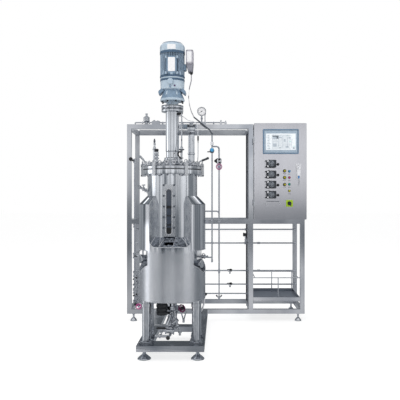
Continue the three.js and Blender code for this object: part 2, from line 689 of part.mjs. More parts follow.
function feedPipe() {
  const y = FEED_Y;
  const top = TOP_RAIL;
  const parts = [
    pipe([[-197, y, top + 99], [-52, y, top - 18], [FEED_A, y, top - 52], [FEED_A, y, 536]], 9, 40),
    pipe([[FEED_A, y, 1568], [FEED_B, y, 1568], [FEED_B, y, 438]], 8, 40),
    pipe([[FEED_B, y, 450], [FEED_B, y, 208]], 5.5, 10),
    rod([FEED_B, y, 470], [FEED_B, y, 436], 9.5),
    rod([FEED_B, y, 214], [FEED_B - 26, y, 240], 6),
    rod([FEED_B, y, 214], [FEED_B + 24, y, 236], 6),
    rod([FEED_B, y, 224], [FEED_B, y, 200], 9),
    rod([FEED_A, y, 1606], [FEED_A, y, 1582], 15),
    rod([FEED_A, y, 1548], [FEED_A, y, 1514], 16),
    rod([FEED_A, y, 1533], [FEED_A, y - 26, 1533], 13),
    rod([FEED_A, y, 1520], [FEED_A - 42, y - 6, 1520], 5),
    rod([FEED_B, y, 1462], [FEED_B, y, 1414], 22),
    rod([FEED_B, y, 1410], [FEED_B, y, 1360], 15),
    rod([FEED_B, y, 1385], [FEED_B, y - 34, 1385], 10),
    jacketReturn(y),
    sideDrain(y),
  ];
  const mid = MID_RAIL + TUBE / 2;
  for (const x of [FEED_A, FEED_B]) parts.push(box(x - 12, x + 12, y - 4, FRAME_FRONT, mid - 10, mid + 10));
  parts.push(box(-100, -80, y - 4, FRAME_FRONT, TOP_RAIL + 8, TOP_RAIL + 30));
  piece("feed_pipe", join(parts), STEEL);
  const cap = [[0, 0], [16, 0], [20, 5], [20, 20], [15, 26], [0, 26]];
  const knob = turned(cap, [FEED_A, y - 26 - GAP, 1533], [0, -1, 0], 14);
  piece("feed_knob", knob, 0x4fa3d4, 0.1, 0.4);
  const wheel = handwheel([FEED_B, y - 34 - GAP - 10, 1385], [0, -1, 0], 29, 10);
  piece("feed_handwheel", wheel, 0xa8527f, 0.1, 0.4);
}

function vesselDrum(r) {
  return rod([VESSEL_X, VESSEL_Y, 420], [VESSEL_X, VESSEL_Y, 1200], r + GAP, ROUND);
}

function jacketReturn(y) {
  const x = VESSEL_X + 179;
  const run = pipe([[x, VESSEL_Y + 94, 1008], [x, y, 990], [FEED_B, y, 990], [FEED_B, y, 930]], 6.5, 60);
  return cut(run, vesselDrum(CLAD_R));
}

function sideDrain(y) {
  const x = VESSEL_X + CLAD_R + 12;
  const z = 690;
  const start = VESSEL_X + SHELL_R - 13;
  const run = pipe([[start, VESSEL_Y, z], [x, VESSEL_Y, z], [x, VESSEL_Y + 150, z - 12],
    [x - 26, y - 40, 584], [x - 26, y, 578], [FEED_A, y, 578]], 6.5, 24);
  const valve = rod([x - 26, VESSEL_Y, z], [x + 4, VESSEL_Y, z], 13);
  return cut(join(run, valve), vesselDrum(SHELL_R));
}

function pipeManifold() {
  const y = MANIFOLD_Y;
  const post = HALF_WIDTH - TUBE / 2;
  const riser = RISER_X + 16;
  const parts = [];
  for (const z of MANIFOLD_Z) {
    parts.push(rod([-post - 4, y, z], [post + 4, y, z], MANIFOLD_R));
    for (const x of [-post, post]) parts.push(box(x - 9, x + 9, y - 3, FRAME_REAR - TUBE, z - 10, z + 10));
  }
  parts.push(rod([riser, y, 160], [riser, y, 808], 8));
  for (const z of [260, 394]) {
    parts.push(rod([137, y, z], [137, y - 24, z], 9));
    parts.push(box(80, 150, y - 34, y - 22, z + 12, z + 22));
    parts.push(box(130.4, 143.6, y - 35, y - 11, z - 5, z + 21));
    parts.push(rod([137, y, z], [137, y, z - 30], 6));
  }
  parts.push(...angleValve(y));
  parts.push(...frontRiser());
  piece("pipe_manifold", join(parts), STEEL);
}

// A seat valve on the upper middle pipe, beside the mid post, with its knob leaning up.
function angleValve(y) {
  const x = MID_POST;
  const z = MANIFOLD_Z[3];
  return [
    rod([x - 18, y - 6, z], [x + 18, y - 6, z], 13),
    rod([x, y - 6, z], [x - 10, y - 14, z + 84], 7),
    rod([x - 32, y - 14, z + 84], [x + 10, y - 14, z + 84], 19),
  ];
}

function frontRiser() {
  const y = FRAME_FRONT + TUBE + 12;
  const x = RISER_X;
  const parts = [
    pipe([[x, y, 150], [x, y, 1440]], 7, 10),
    rod([x, y, 394], [x, MANIFOLD_Y, 394], 6),
    rod([x, y, 1425], [x, y, 1465], 14),
    pipe([[x, y, 1445], [x, y - 66, 1449], [x - 20, y - 74, 1454]], 6, 10),
    ball([x - 24, y - 76, 1455], 14),
    rod([x, y, 840], [x, y, 872], 15),
    rod([x, y, 560], [x, y, 610], 16),
    rod([x, y, 585], [x + 26, y - 12, 585], 10),
    box(x - 6, x + 66, y - 30, y - 20, 578, 588),
    rod([x, y, 583], [x, y - 26, 583], 8),
    rod([x, y, 392], [x, y, 446], 15),
    rod([x, y, 240], [x, y, 290], 16),
    pipe([[x, y, 190], [x + 37, y, 160], [x + 37, y - 60, 140]], 7, 16),
  ];
  parts.push(handwheel([x + 37, y - 64, 139], [0, -1, 0.1], 27, 9));
  return parts;
}

function airLine() {
  const y = FRAME_FRONT + TUBE / 2;
  const top = TOP_RAIL + TUBE;
  const z = top + 17;
  const left = RISER_X + 10;
  const regulator = [
    [0, 0], [22, 0], [22, 6], [12, 10], [12, 24], [30, 34], [34, 52], [34, 76], [24, 84], [12, 90],
    [12, 118], [0, 118],
  ];
  const parts = [
    pipe([[left, y, top], [left, y, z], [98, y, z]], 6, 14),
    turned(regulator, [left + 102, y, top], [0, 0, 1], 14),
    box(left + 151, left + 224, y - 18, y + 18, top, top + 31),
    box(-142, -88, y - 12, y + 12, top, top + 24),
    rod([-128, y, z], [-128, y, top + 88], 7),
    rod([-128, y - 15, top + 117], [-128, y + 15, top + 117], 40.5, 16),
    rod([-98, y, z], [-98, y, top + 104], 4),
    rod([-98, y, top + 90], [-98, y, top + 110], 8),
    box(36, 56, y - 12, y + 12, top, top + 26),
    box(78, 98, y - 12, y + 12, top, top + 26),
  ];
  piece("air_line", join(parts), STEEL);
}

function shelf() {
  const x0 = MID_POST + TUBE;
  const x1 = HALF_WIDTH - TUBE;
  const y0 = FRAME_FRONT + 2;
  const y1 = FRAME_REAR - 2;
  const low = SHELF_LOW;
  const hollow = box(x0 + 4, x1 - 4, y0 + 4, y1 - 4, low + 8, low + 53);
  const tray = cut(box(x0, x1, y0, y1, low, low + 37), hollow);
  const yf = FRAME_FRONT + 20;
  const yr = MANIFOLD_Y - 16;
  const z = GUARD_Z;
  const r = GUARD_R;
  const mid = (x0 + x1) / 2;
  const guard = [
    rod([x0, yf, z], [x1, yf, z], r),
    rod([x0 + 16, yr, z], [x1 - 16, yr, z], r),
    rod([x0 + 16, yf, z], [x0 + 16, yr, z], r),
    rod([x1 - 16, yf, z], [x1 - 16, yr, z], r),
    rod([mid + 15, yf, low + 5], [mid + 15, yf, z], r),
    rod([mid - 1, yr, low + 5], [mid - 1, yr, z], r),
    rod([x0 + 16, yr, low + 5], [x0 + 16, yr, z], r),
    rod([x1 - 16, yr, low + 5], [x1 - 16, yr, z], r),
  ];
  piece("shelf", join(tray, guard), 0x9aa0a8);
}

// ---- cabinet ----------------------------------------------------------
function cabinet() {
  const w = CAB_WALL;
  const low = MID_RAIL + TUBE;
  const outer = box(CAB_LEFT, CAB_RIGHT, CAB_FRONT, CAB_REAR, low, CAB_TOP);
  const inner = box(CAB_LEFT + w, CAB_RIGHT - w, CAB_FRONT - 20, CAB_REAR - w, low + w, CAB_TOP - w);
  piece("cabinet_box", cut(outer, inner), 0xababb0, 0.9, 0.4);
  const f = DOOR_FRONT;
  const parts = [box(CAB_LEFT + 2, CAB_RIGHT - 2, f, CAB_FRONT - GAP, low + 2, CAB_TOP - 2)];
  for (const z of [1622, 1068]) {
    parts.push(rod([CAB_LEFT - 2, f - 3, z - 27], [CAB_LEFT - 2, f - 3, z + 27], 6));
    parts.push(box(CAB_LEFT - 2, CAB_LEFT + 26, f - 4, f + 4, z - 26, z + 26));
  }
  parts.push(box(PUMP_X, PUMP_X + 132, f - 4, f + 4, 1023, 1085));
  for (const z of SELECTOR_Z) parts.push(box(SELECTOR_X - 17, SELECTOR_X + 17, f - 7, f + 4, z - 17, z + 17));
  const dome = [[0, 0], [14, 0], [14, 10], [10, 20], [0, 25]];
  for (const z of LAMP_Z) parts.push(turned(dome, [LAMP_X, f + 4, z], [0, -1, 0], 10));
  parts.push(box(SWITCH[0] - 30, SWITCH[0] + 30, f - 5, f + 4, SWITCH[1] - 30, SWITCH[1] + 30));
  parts.push(box(LOCK[0] - 21, LOCK[0] + 21, f - 7, f + 4, LOCK[1] - 70, LOCK[1] + 70));
  piece("cabinet_door", join(parts), 0xababb0, 0.9, 0.4);
  doorFittings(f);
}

function doorFittings(f) {
  const { left, right, low, high, rim } = SCREEN;
  const panel = box(left, right, f - 14, f, low, high);
  const recess = box(left + rim, right - rim, f - 30, f - 9, low + rim, high - rim);
  piece("hmi", cut(panel, recess), 0x6f87a0, 0.2, 0.4);
  PUMP_Z.forEach((z, i) => piece(`pump_${i + 1}`, pump(z, f), DARK, 0.2, 0.5));
  SELECTOR_Z.forEach((z, i) => {
    piece(`selector_${i + 1}`, knob(SELECTOR_X, z, f - 7 - GAP, 12, 9, 22), 0xc9c21a, 0.1, 0.4);
  });
  piece("main_switch_knob", knob(SWITCH[0], SWITCH[1], f - 5 - GAP, 22, 14, 34), 0x1a2233, 0.1, 0.4);
  const lever = join(
    box(LOCK[0] - 13, LOCK[0] + 13, f - 27, f - 10, LOCK[1] - 62, LOCK[1] + 40),
    rod([LOCK[0], f - 7 - GAP, LOCK[1] + 36], [LOCK[0], f - 30, LOCK[1] + 36], 17),
  );
  piece("lock_handle", lever, 0xdadadf, 0.1, 0.4);
}

function pump(z, f) {
  const h = PUMP_H / 2 - 1;
  const x = PUMP_X;
  const head = join(
    box(x, x + PUMP_W, f - 12, f, z - h, z + h),
    box(x + 2, x + 94, f - 60, f - 10, z - h + 4, z + h - 4),
    rod([x + 48, f - 55, z], [x + 48, f - 84, z], 27),
    rod([x + 48, f - 80, z], [x + 48, f - 96, z], 12),
  );
  return join(head, rod([x + 113, f - 8, z - 4], [x + 113, f - 32, z - 4], 10.5));
}

function knob(x, z, y, r, skirt, depth) {
  const profile = [[0, 0], [r, 0], [r, skirt], [r * 0.8, skirt + 2], [0, skirt + 2]];
  const base = turned(profile, [x, y, z], [0, -1, 0], 16);
  return join(base, box(x - r * 0.28, x + r * 0.28, y - depth, y - 2, z - r * 0.9, z + r * 0.9));
}

skid();
stand();
shell();
cladding();
sightGlass();
lid();
for (let i = 0; i < 6; i += 1) lidClamp(i);
lantern();
gearUnit();
motor();
motorCable();
agitator();
condenser();
airLine();
bottomValve();
feedPipe();
pipeManifold();
shelf();
cabinet();

export default group;
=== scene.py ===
# %% [markdown]
# # A pilot-scale stirred tank bioreactor
# The real machine is a stainless vessel with a top drive, standing on a base frame that runs back into a
# tube skid. The skid carries pipework, an air line and a control cabinet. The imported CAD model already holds
# every piece at its size, so this script only measures that frame and gives each piece its finished surface:
# round where the CAD is faceted, softened at the edges, and with the small fittings that solids leave out.
# Lengths are written in millimetres and turned into metres at one place, when a mesh is made.
# %% Load the frame and keep its size
import math
import bmesh
import bpy
from mathutils import Matrix, Vector


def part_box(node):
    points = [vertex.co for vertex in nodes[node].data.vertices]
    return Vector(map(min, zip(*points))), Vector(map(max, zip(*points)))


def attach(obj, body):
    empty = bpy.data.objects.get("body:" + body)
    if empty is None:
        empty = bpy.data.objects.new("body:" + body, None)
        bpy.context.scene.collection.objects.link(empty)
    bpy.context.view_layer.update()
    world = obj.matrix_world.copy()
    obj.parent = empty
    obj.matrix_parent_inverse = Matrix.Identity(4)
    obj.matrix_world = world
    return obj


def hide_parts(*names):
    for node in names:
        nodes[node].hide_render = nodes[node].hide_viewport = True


MM = 0.001
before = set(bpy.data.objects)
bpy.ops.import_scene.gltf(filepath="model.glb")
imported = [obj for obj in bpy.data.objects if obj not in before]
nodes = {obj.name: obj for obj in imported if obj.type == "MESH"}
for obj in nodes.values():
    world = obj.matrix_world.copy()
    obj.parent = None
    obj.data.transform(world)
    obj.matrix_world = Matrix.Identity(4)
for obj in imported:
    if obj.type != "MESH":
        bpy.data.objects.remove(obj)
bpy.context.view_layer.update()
scene = bpy.context.scene


def span(node):
    """Lowest and highest corner of a CAD node in millimetres."""
    low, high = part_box(node)
    return low / MM, high / MM


def middle(node):
    low, high = span(node)
    return (low + high) / 2


# %% [markdown]
# ## Where things are
# Everything round the vessel turns about one upright axis, and everything on the skid lines up with the front
# tubes or the cabinet door. Reading those few places from the frame keeps the pieces where the CAD has them,
# and any later change of the CAD carries through. Heights that several pieces share get a name here.
# %% Measure the datums
vx, vy, _ = middle("lid_gasket")
AXIS = (vx, vy, 0)
FRONT_WAY = (0, -1, 0)
gasket_low, gasket_high = (corner.z for corner in span("lid_gasket"))
clad_low = span("cladding")[0].z
face_y = span("front_frame")[0].y
rear_y = span("rear_frame")[1].y
skid_left = span("front_frame")[0].x
skid_right = span("front_frame")[1].x
skid_top = span("front_frame")[1].z
post_x = span("cross_mid_2")[0].x
door_y = span("hmi")[1].y
TUBE = 40
SHELL_R = 175
CLAD_R = 233
FLANGE_R = 209
BORE_R = 150
LANTERN_R = 47.5
CLAD_SHOULDER = 1062
FLANGE_THICK = 31
flange_low = gasket_low - FLANGE_THICK
lid_face = gasket_high + 20
lid_top = span("lantern")[0].z
lantern_top = span("gear_unit")[0].z
gear_top = span("motor")[0].z
motor_top = span("motor")[1].z
print("vessel axis", round(vx, 1), round(vy, 1), "lid face", round(lid_face, 1))
# %% [markdown]
# ## Camera
# The camera looks straight along +Y from about chest height, as someone would stand to take in the whole
# machine. A lens a little longer than normal keeps the skid's perspective mild. Its shift puts the vessel
# left of the middle without turning the camera, so upright tubes stay upright.
# %% Place the camera
camera = bpy.data.objects.new("camera", bpy.data.cameras.new("camera"))
scene.collection.objects.link(camera)
scene.camera = camera
camera.data.lens = 52.2
camera.data.shift_x = -0.04625
camera.location = (0.024, -4.8265, 1.090)
camera.rotation_euler = (math.radians(90), 0, 0)
camera.data.clip_end = 60
print("camera", tuple(camera.location))
# %% [markdown]
# ## Tools for making meshes
# Nearly all of this machine is turned, bent from tube or cut from sheet, so five makers cover it: a lathe, a
# swept tube, a bar, a block and a flat plate. Each adds closed shells to a bmesh in millimetres. `piece` then
# scales the mesh once, smooths it below a set angle, gives it its finish and ties it to the body it moves
# with. Real edges are never knife sharp, so profiles are softened and blocks bevelled as they are made.
# %% Turn, sweep and cut
def turns(steps):
    """Angles evenly round a circle."""
    return [2 * math.pi * i / steps for i in range(steps)]


def rounded(points, bend, steps=6, share=0.45):
    """A corner route with each corner drawn as an arc of about `bend`, on at most a `share` of its sides."""
    corners = [Vector(p) for p in points]
    path = [corners[0]]
    for before, here, after in zip(corners, corners[1:], corners[2:]):
        back, ahead = before - here, after - here
        reach = min(bend, back.length * share, ahead.length * share)
        start = here + back.normalized() * reach
        end = here + ahead.normalized() * reach
        for k in range(steps + 1):
            t = k / steps
            path.append(start * (1 - t) ** 2 + here * 2 * t * (1 - t) + end * t * t)
    path.append(corners[-1])
    return path


def soften(profile, radius=1.5, steps=2):
    """Round every inner corner of a profile by up to `radius`."""
    return [tuple(p) for p in rounded(profile, radius, steps, 0.4)]


def skin(work, rows, closed=False):
    """Faces between neighbouring rings of vertices; a ring of one vertex is a pole."""
    steps = max(len(row) for row in rows)
    for low, high in zip(rows, rows[1:] + rows[:closed]):
        for i in range(steps):
            j = (i + 1) % steps
            ends = [low[i % len(low)], low[j % len(low)], high[j % len(high)], high[i % len(high)]]
            corners = list(dict.fromkeys(ends))
            if len(corners) > 2:
                work.faces.new(corners)


def lathe(work, profile, origin=(0, 0, 0), axis=(0, 0, 1), steps=48):
    """Turn (radius, height) pairs about an axis; the profile closes on itself or meets the axis."""
    turn = Vector((0, 0, 1)).rotation_difference(Vector(axis)).to_matrix().to_4x4()
    place = Matrix.Translation(Vector(origin)) @ turn
    angles = turns(steps)
    closed = tuple(profile[0]) == tuple(profile[-1]) and profile[0][0] > 1e-6
    rows = []
    for radius, height in profile[:-1] if closed else profile:
        around = angles if radius > 1e-6 else angles[:1]
        spots = [(radius * math.cos(a), radius * math.sin(a), height) for a in around]
        rows.append([work.verts.new(place @ Vector(s)) for s in spots])
    skin(work, rows, closed)


def bar(work, start, end, radius, steps=24, edge=0.6):
    """A round bar with softly broken ends."""
    line = Vector(end) - Vector(start)
    long = line.length
    edge = min(edge, radius * 0.4, long * 0.4)
    inner = radius - edge
    lathe(work, [(0, 0), (inner, 0), (radius, edge), (radius, long - edge), (inner, long), (0, long)], start,
          line.normalized(), steps)


def hoop(work, centre, axis, radius, thick, around=10, steps=24, deep=None):
    """A ring of round wire, or of wire `deep` along the axis."""
    ring = [(radius + thick * math.cos(a), (deep or thick) * math.sin(a)) for a in turns(around)]
    lathe(work, ring + ring[:1], centre, axis, steps)


def sweep(work, path, radii, steps):
    """A circle swept along a path without twist and capped at both ends, with a radius for each point."""
    way = [(b - a).normalized() for a, b in zip(path, path[1:])]
    way = [way[0]] + [(a + b).normalized() for a, b in zip(way, way[1:])] + [way[-1]]
    side = way[0].orthogonal().normalized()
    rows = []
    for spot, ahead, last, radius in zip(path, way, [way[0]] + way, radii):
        side = last.rotation_difference(ahead) @ side
        up = ahead.cross(side)
        ring = [side * math.cos(a) + up * math.sin(a) for a in turns(steps)]
        rows.append([work.verts.new(spot + arm * radius) for arm in ring])
    skin(work, rows)
    work.faces.new(rows[0][::-1])
    work.faces.new(rows[-1])


def tube(work, points, radius, bend=20, steps=16, arc=6):
    """A pipe bent round the corners of a route."""
    path = rounded(points, bend, arc)
    sweep(work, path, [radius] * len(path), steps)


def bevelled(work, edges, edge, rounds):
    """Round some edges of a shell, or leave them sharp where `edge` is 0."""
    if edge:
        bmesh.ops.bevel(work, geom=list(edges), offset=edge, segments=rounds, affect="EDGES",
                        clamp_overlap=True)


def block(work, low, high, edge=1.0, rounds=2):
    """A box between two corners with its edges bevelled."""
    low, high = Vector(low), Vector(high)
    place = Matrix.Translation((low + high) / 2) @ Matrix.Diagonal((*(high - low), 1))
    verts = bmesh.ops.create_cube(work, size=1, matrix=place)["verts"]
    bevelled(work, {e for v in verts for e in v.link_edges}, edge, rounds)


def plate(work, outline, near, far, edge=0.8, rounds=2, axes="xz"):
    """Carry a flat outline of (across, up) pairs from `near` to `far` along the third axis."""
    seats = {"xz": lambda a, b, d: (a, d, b), "xy": lambda a, b, d: (a, b, d), "yz": lambda a, b,
             d: (d, a, b)}
    seat = seats[axes]
    front, back = ([work.verts.new(seat(a, b, at)) for a, b in outline] for at in (near, far))
    faces = [work.faces.new(front), work.faces.new(back[::-1])]
    for i in range(len(outline)):
        j = (i + 1) % len(outline)
        work.faces.new((front[i], back[i], back[j], front[j]))
    bevelled(work, {e for f in faces for e in f.edges}, edge, rounds)


def slot_outline(x, half, low, high, steps=16):
    """An upright slot with round ends."""
    turn = [math.pi * i / steps for i in range(steps + 1)]
    lower = [(x + half * math.cos(math.pi + t), low + half + half * math.sin(math.pi + t)) for t in turn]
    upper = [(x + half * math.cos(t), high - half + half * math.sin(t)) for t in turn]
    return lower + upper


def rounded_outline(low, high, radius, steps=6):
    """A rectangle with round corners, as (across, up) pairs."""
    out = []
    centres = [(high[0], high[1], 0), (low[0], high[1], 90), (low[0], low[1], 180), (high[0], low[1], 270)]
    for x, z, start in centres:
        cx = x + (radius if x == low[0] else -radius)
        cz = z + (radius if z == low[1] else -radius)
        for i in range(steps + 1):
            a = math.radians(start + 90 * i / steps)
            out.append((cx + radius * math.cos(a), cz + radius * math.sin(a)))
    return out


def panel(work, low, high, radius, near, far, edge=0.8, rounds=2, steps=6, axes="xz"):
    """A rectangular plate with round corners."""
    plate(work, rounded_outline(low, high, radius, steps), near, far, edge, rounds, axes)


# %% Make a piece and tie it to its body
def meshed(name, work):
    """Turn a bmesh in millimetres into a mesh in metres, its faces pointing outwards."""
    bmesh.ops.recalc_face_normals(work, faces=work.faces)
    bmesh.ops.scale(work, vec=(MM, MM, MM), verts=work.verts)
    mesh = bpy.data.meshes.new(name)
    work.to_mesh(mesh)
    work.free()
    return mesh


def piece(name, work, finish, at=(0, 0, 0), **seat):
    """Turn a bmesh, drawn in millimetres from the point `at`, into a finished object that rides on a body."""
    bmesh.ops.translate(work, vec=at, verts=work.verts)
    return settle(name, meshed(name, work), finish, **seat)


def turned(name, profile, finish, at=AXIS, bend=0, steps=96, aim=(0, 0, 1), **seat):
    """A piece turned about the vessel's axis, or about the line from `at` along `aim`."""
    work = bmesh.new()
    lathe(work, soften(profile, bend) if bend else profile, axis=aim, steps=steps)
    return piece(name, work, finish, at=at, **seat)


def placed(name, data):
    """A mesh or a lamp as an object in the scene."""
    obj = bpy.data.objects.new(name, data)
    scene.collection.objects.link(obj)
    return obj


def settle(name, mesh, finish, body="skid", slot=None, solid=None, angle=38):
    """Give a mesh its finish, its body and the CAD solid it stands for."""
    mesh.materials.clear()
    mesh.materials.append(finish)
    mesh.polygons.foreach_set("use_smooth", [True] * len(mesh.polygons))
    mesh.set_sharp_from_angle(angle=math.radians(angle))
    obj = placed(name, mesh)
    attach(obj, body)
    if solid:
        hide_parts(solid)
    return obj


def copied(node, edge=1.0, rounds=2, angle=30):
    """A CAD node's solid as a clean bmesh in millimetres, its flat faces whole and its edges bevelled."""
    work = bmesh.new()
    work.from_mesh(nodes[node].data)
    bmesh.ops.scale(work, vec=(1 / MM,) * 3, verts=work.verts)
    bmesh.ops.remove_doubles(work, verts=work.verts, dist=0.02)
    bmesh.ops.dissolve_limit(work, angle_limit=math.radians(0.5), verts=work.verts, edges=work.edges)
    steep = math.radians(angle)
    bevelled(work, [e for e in work.edges if len(e.link_faces) == 2 and e.calc_face_angle(0) > steep], edge,
             rounds)
    return work


def combined(base, others, operation="DIFFERENCE"):
    """Combine closed bmeshes by exact booleans into a new bmesh, in millimetres throughout."""
    objects = []
    for part in [base, *others]:
        bmesh.ops.recalc_face_normals(part, faces=part.faces)
        mesh = bpy.data.meshes.new("carving")
        part.to_mesh(mesh)
        part.free()
        objects.append(placed("carving", mesh))
    for other in objects[1:]:
        change = objects[0].modifiers.new("combine", "BOOLEAN")
        change.operation = operation
        change.solver = "EXACT"
        change.object = other
    graph = bpy.context.evaluated_depsgraph_get()
    work = bmesh.new()
    work.from_mesh(objects[0].evaluated_get(graph).to_mesh())
    objects[0].evaluated_get(graph).to_mesh_clear()
    for obj in objects:
        bpy.data.objects.remove(obj)
    return work


print("makers ready")
# %% [markdown]
# ## Patterns with Geometry Nodes
# Nuts round a flange, fins round a motor and rollers in a pump are one shape repeated about an axis. A small
# node tree does that for any item: it takes the item's own mesh, instances it on a circle of points and makes
# the copies real. Screws sit in no regular ring, so a second tree puts a hexagon head and a washer on each
# vertex of a mesh, aimed along a direction stored with the vertex. Both results become plain meshes.
# %% Build the two trees
def wire(tree, node, sockets):
    """Set sockets of a node to plain values, or feed them from a socket or a node's first output."""
    for key, given in sockets.items():
        if isinstance(given, bpy.types.Node):
            given = given.outputs[0]
        if isinstance(given, bpy.types.NodeSocket):
            tree.links.new(given, node.inputs[key])
        else:
            node.inputs[key].default_value = given
    return node


def linked(tree, kind, sockets=None, **settings):
    """Add a node with its settings, its values and the links into it."""
    node = tree.nodes.new(kind)
    for key, value in settings.items():
        setattr(node, key, value)
    return wire(tree, node, sockets or {})


def new_tree(name, inputs):
    """A geometry tree with a geometry socket each way and the named inputs."""
    tree = bpy.data.node_groups.new(name, "GeometryNodeTree")
    face = tree.interface
    face.new_socket("Geometry", in_out="OUTPUT", socket_type="NodeSocketGeometry")
    face.new_socket("Geometry", in_out="INPUT", socket_type="NodeSocketGeometry")
    for label, kind in inputs.items():
        face.new_socket(label, in_out="INPUT", socket_type=kind)
    return tree, tree.nodes.new("NodeGroupInput").outputs


def close_tree(tree, shape, finish):
    """Make the instances real, give them their finish and end the tree."""
    real = linked(tree, "GeometryNodeRealizeInstances", {"Geometry": shape})
    done = linked(tree, "GeometryNodeSetMaterial", {"Geometry": real, "Material": finish})
    linked(tree, "NodeGroupOutput", {"Geometry": done})
    return tree


def ring_tree():
    """Repeat the incoming item about an axis through a centre."""
    inputs = {"Count": "NodeSocketInt", "Start": "NodeSocketFloat", "Axis": "NodeSocketVector",
              "Centre": "NodeSocketVector", "Finish": "NodeSocketMaterial"}
    tree, given = new_tree("ring pattern", inputs)
    points = linked(tree, "GeometryNodePoints", {"Count": given["Count"]})
    index = linked(tree, "GeometryNodeInputIndex")
    share = linked(tree, "ShaderNodeMath", {0: index, 1: given["Count"]}, operation="DIVIDE")
    turn = linked(tree, "ShaderNodeMath", {0: share, 1: 2 * math.pi, 2: given["Start"]},
                  operation="MULTIPLY_ADD")
    spin = linked(tree, "FunctionNodeAxisAngleToRotation", {"Axis": given["Axis"], "Angle": turn})
    copies = linked(tree, "GeometryNodeInstanceOnPoints",
                    {"Points": points, "Instance": given["Geometry"], "Rotation": spin})
    moved = linked(tree, "GeometryNodeTransform", {"Geometry": copies, "Translation": given["Centre"]})
    return close_tree(tree, moved, given["Finish"])


def screw_tree():
    """Put a hexagon head on a washer at each vertex, aimed along its stored direction."""
    inputs = {"Across": "NodeSocketFloat", "Height": "NodeSocketFloat", "Finish": "NodeSocketMaterial"}
    tree, given = new_tree("screw heads", inputs)
    half = linked(tree, "ShaderNodeMath", {0: given["Across"], 1: 0.577}, operation="MULTIPLY")
    wide = linked(tree, "ShaderNodeMath", {0: given["Across"], 1: 0.75}, operation="MULTIPLY")
    thin = linked(tree, "ShaderNodeMath", {0: given["Height"], 1: 0.3}, operation="MULTIPLY")
    lift = linked(tree, "ShaderNodeMath", {0: given["Height"], 1: 0.6}, operation="MULTIPLY")
    head = linked(tree, "GeometryNodeMeshCylinder", {"Vertices": 6, "Radius": half, "Depth": given["Height"]})
    up = linked(tree, "ShaderNodeCombineXYZ", {"Z": lift})
    raised = linked(tree, "GeometryNodeTransform", {"Geometry": head, "Translation": up})
    washer = linked(tree, "GeometryNodeMeshCylinder", {"Vertices": 16, "Radius": wide, "Depth": thin})
    both = linked(tree, "GeometryNodeJoinGeometry", {0: raised})
    wire(tree, both, {0: washer})
    aim = linked(tree, "GeometryNodeInputNamedAttribute", {"Name": "aim"}, data_type="FLOAT_VECTOR")
    turn = linked(tree, "FunctionNodeAlignRotationToVector", {"Vector": aim}, axis="Z")
    copies = linked(tree, "GeometryNodeInstanceOnPoints",
                    {"Points": given["Geometry"], "Instance": both, "Rotation": turn})
    return close_tree(tree, copies, given["Finish"])


def grown(name, mesh, tree, values, **seat):
    """Run a tree on a mesh, keep the result as a plain mesh and settle it."""
    carrier = placed("carrier", mesh)
    change = carrier.modifiers.new("pattern", "NODES")
    change.node_group = tree
    for item in tree.interface.items_tree:
        if item.item_type == "SOCKET" and item.in_out == "INPUT" and item.name in values:
            change[item.identifier] = values[item.name]
    graph = bpy.context.evaluated_depsgraph_get()
    made = bpy.data.meshes.new_from_object(carrier.evaluated_get(graph))
    bpy.data.objects.remove(carrier)
    made.name = name
    return settle(name, made, values["Finish"], **seat)


RING = ring_tree()
SCREWS = screw_tree()


def ringed(name, item, count, centre, finish, axis=(0, 0, 1), start=0.0, **seat):
    """Repeat an item, modelled about the origin in millimetres, round an axis through `centre`."""
    values = {"Count": count, "Start": math.radians(start), "Axis": axis, "Centre": Vector(centre) * MM,
              "Finish": finish}
    return grown(name, meshed(name, item), RING, values, **seat)


def screws(name, places, finish, across=8.0, height=4.0, **seat):
    """Screw heads at (point, direction) pairs in millimetres."""
    mesh = bpy.data.meshes.new(name)
    mesh.from_pydata([Vector(p) * MM for p, _ in places], [], [])
    aim = mesh.attributes.new("aim", "FLOAT_VECTOR", "POINT")
    aim.data.foreach_set("vector", [c for _, d in places for c in Vector(d).normalized()])
    values = {"Across": across * MM, "Height": height * MM, "Finish": finish}
    return grown(name, mesh, SCREWS, values, **seat)


print("trees", RING.name, SCREWS.name)
# %% [markdown]
# A third tree draws a rounded seam along chosen edges of a mesh: it turns the edges into curves and sweeps a
# small circle along them. Folded sheet and ground welds have such a rounded edge, and it catches the light.
# %% Build the seam tree
def seam_tree():
    """Sweep a circle along every edge of the incoming mesh."""
    inputs = {"Radius": "NodeSocketFloat", "Finish": "NodeSocketMaterial"}
    tree, given = new_tree("edge seams", inputs)
    lines = linked(tree, "GeometryNodeMeshToCurve", {"Mesh": given["Geometry"]})
    circle = linked(tree, "GeometryNodeCurvePrimitiveCircle", {"Resolution": 8, "Radius": given["Radius"]})
    swept = linked(tree, "GeometryNodeCurveToMesh", {"Fill Caps": True, "Curve": lines,
                                                     "Profile Curve": circle})
    return close_tree(tree, swept, given["Finish"])


SEAMS = seam_tree()


def seams(name, lines, radius, finish, **seat):
    """Rounded seams along (start, end) lines in millimetres; lines that share an end join up."""
    spots = {}
    pairs = []
    for start, end in lines:
        pair = [spots.setdefault(tuple(round(c, 2) for c in p), len(spots)) for p in (start, end)]
        if pair[0] != pair[1]:
            pairs.append(pair)
    mesh = bpy.data.meshes.new(name)
    mesh.from_pydata([Vector(p) * MM for p in spots], pairs, [])
    return grown(name, mesh, SEAMS, {"Radius": radius * MM, "Finish": finish}, **seat)


def sharp_lines(work, test, angle=35):
    """Ends of a bmesh's sharp edges that pass a test on their middle."""
    found = []
    for edge in work.edges:
        if len(edge.link_faces) == 2 and edge.calc_face_angle(0) > math.radians(angle):
            start, end = (v.co.copy() for v in edge.verts)
            if test((start + end) / 2):
                found.append((start, end))
    return found


print("tree", SEAMS.name)
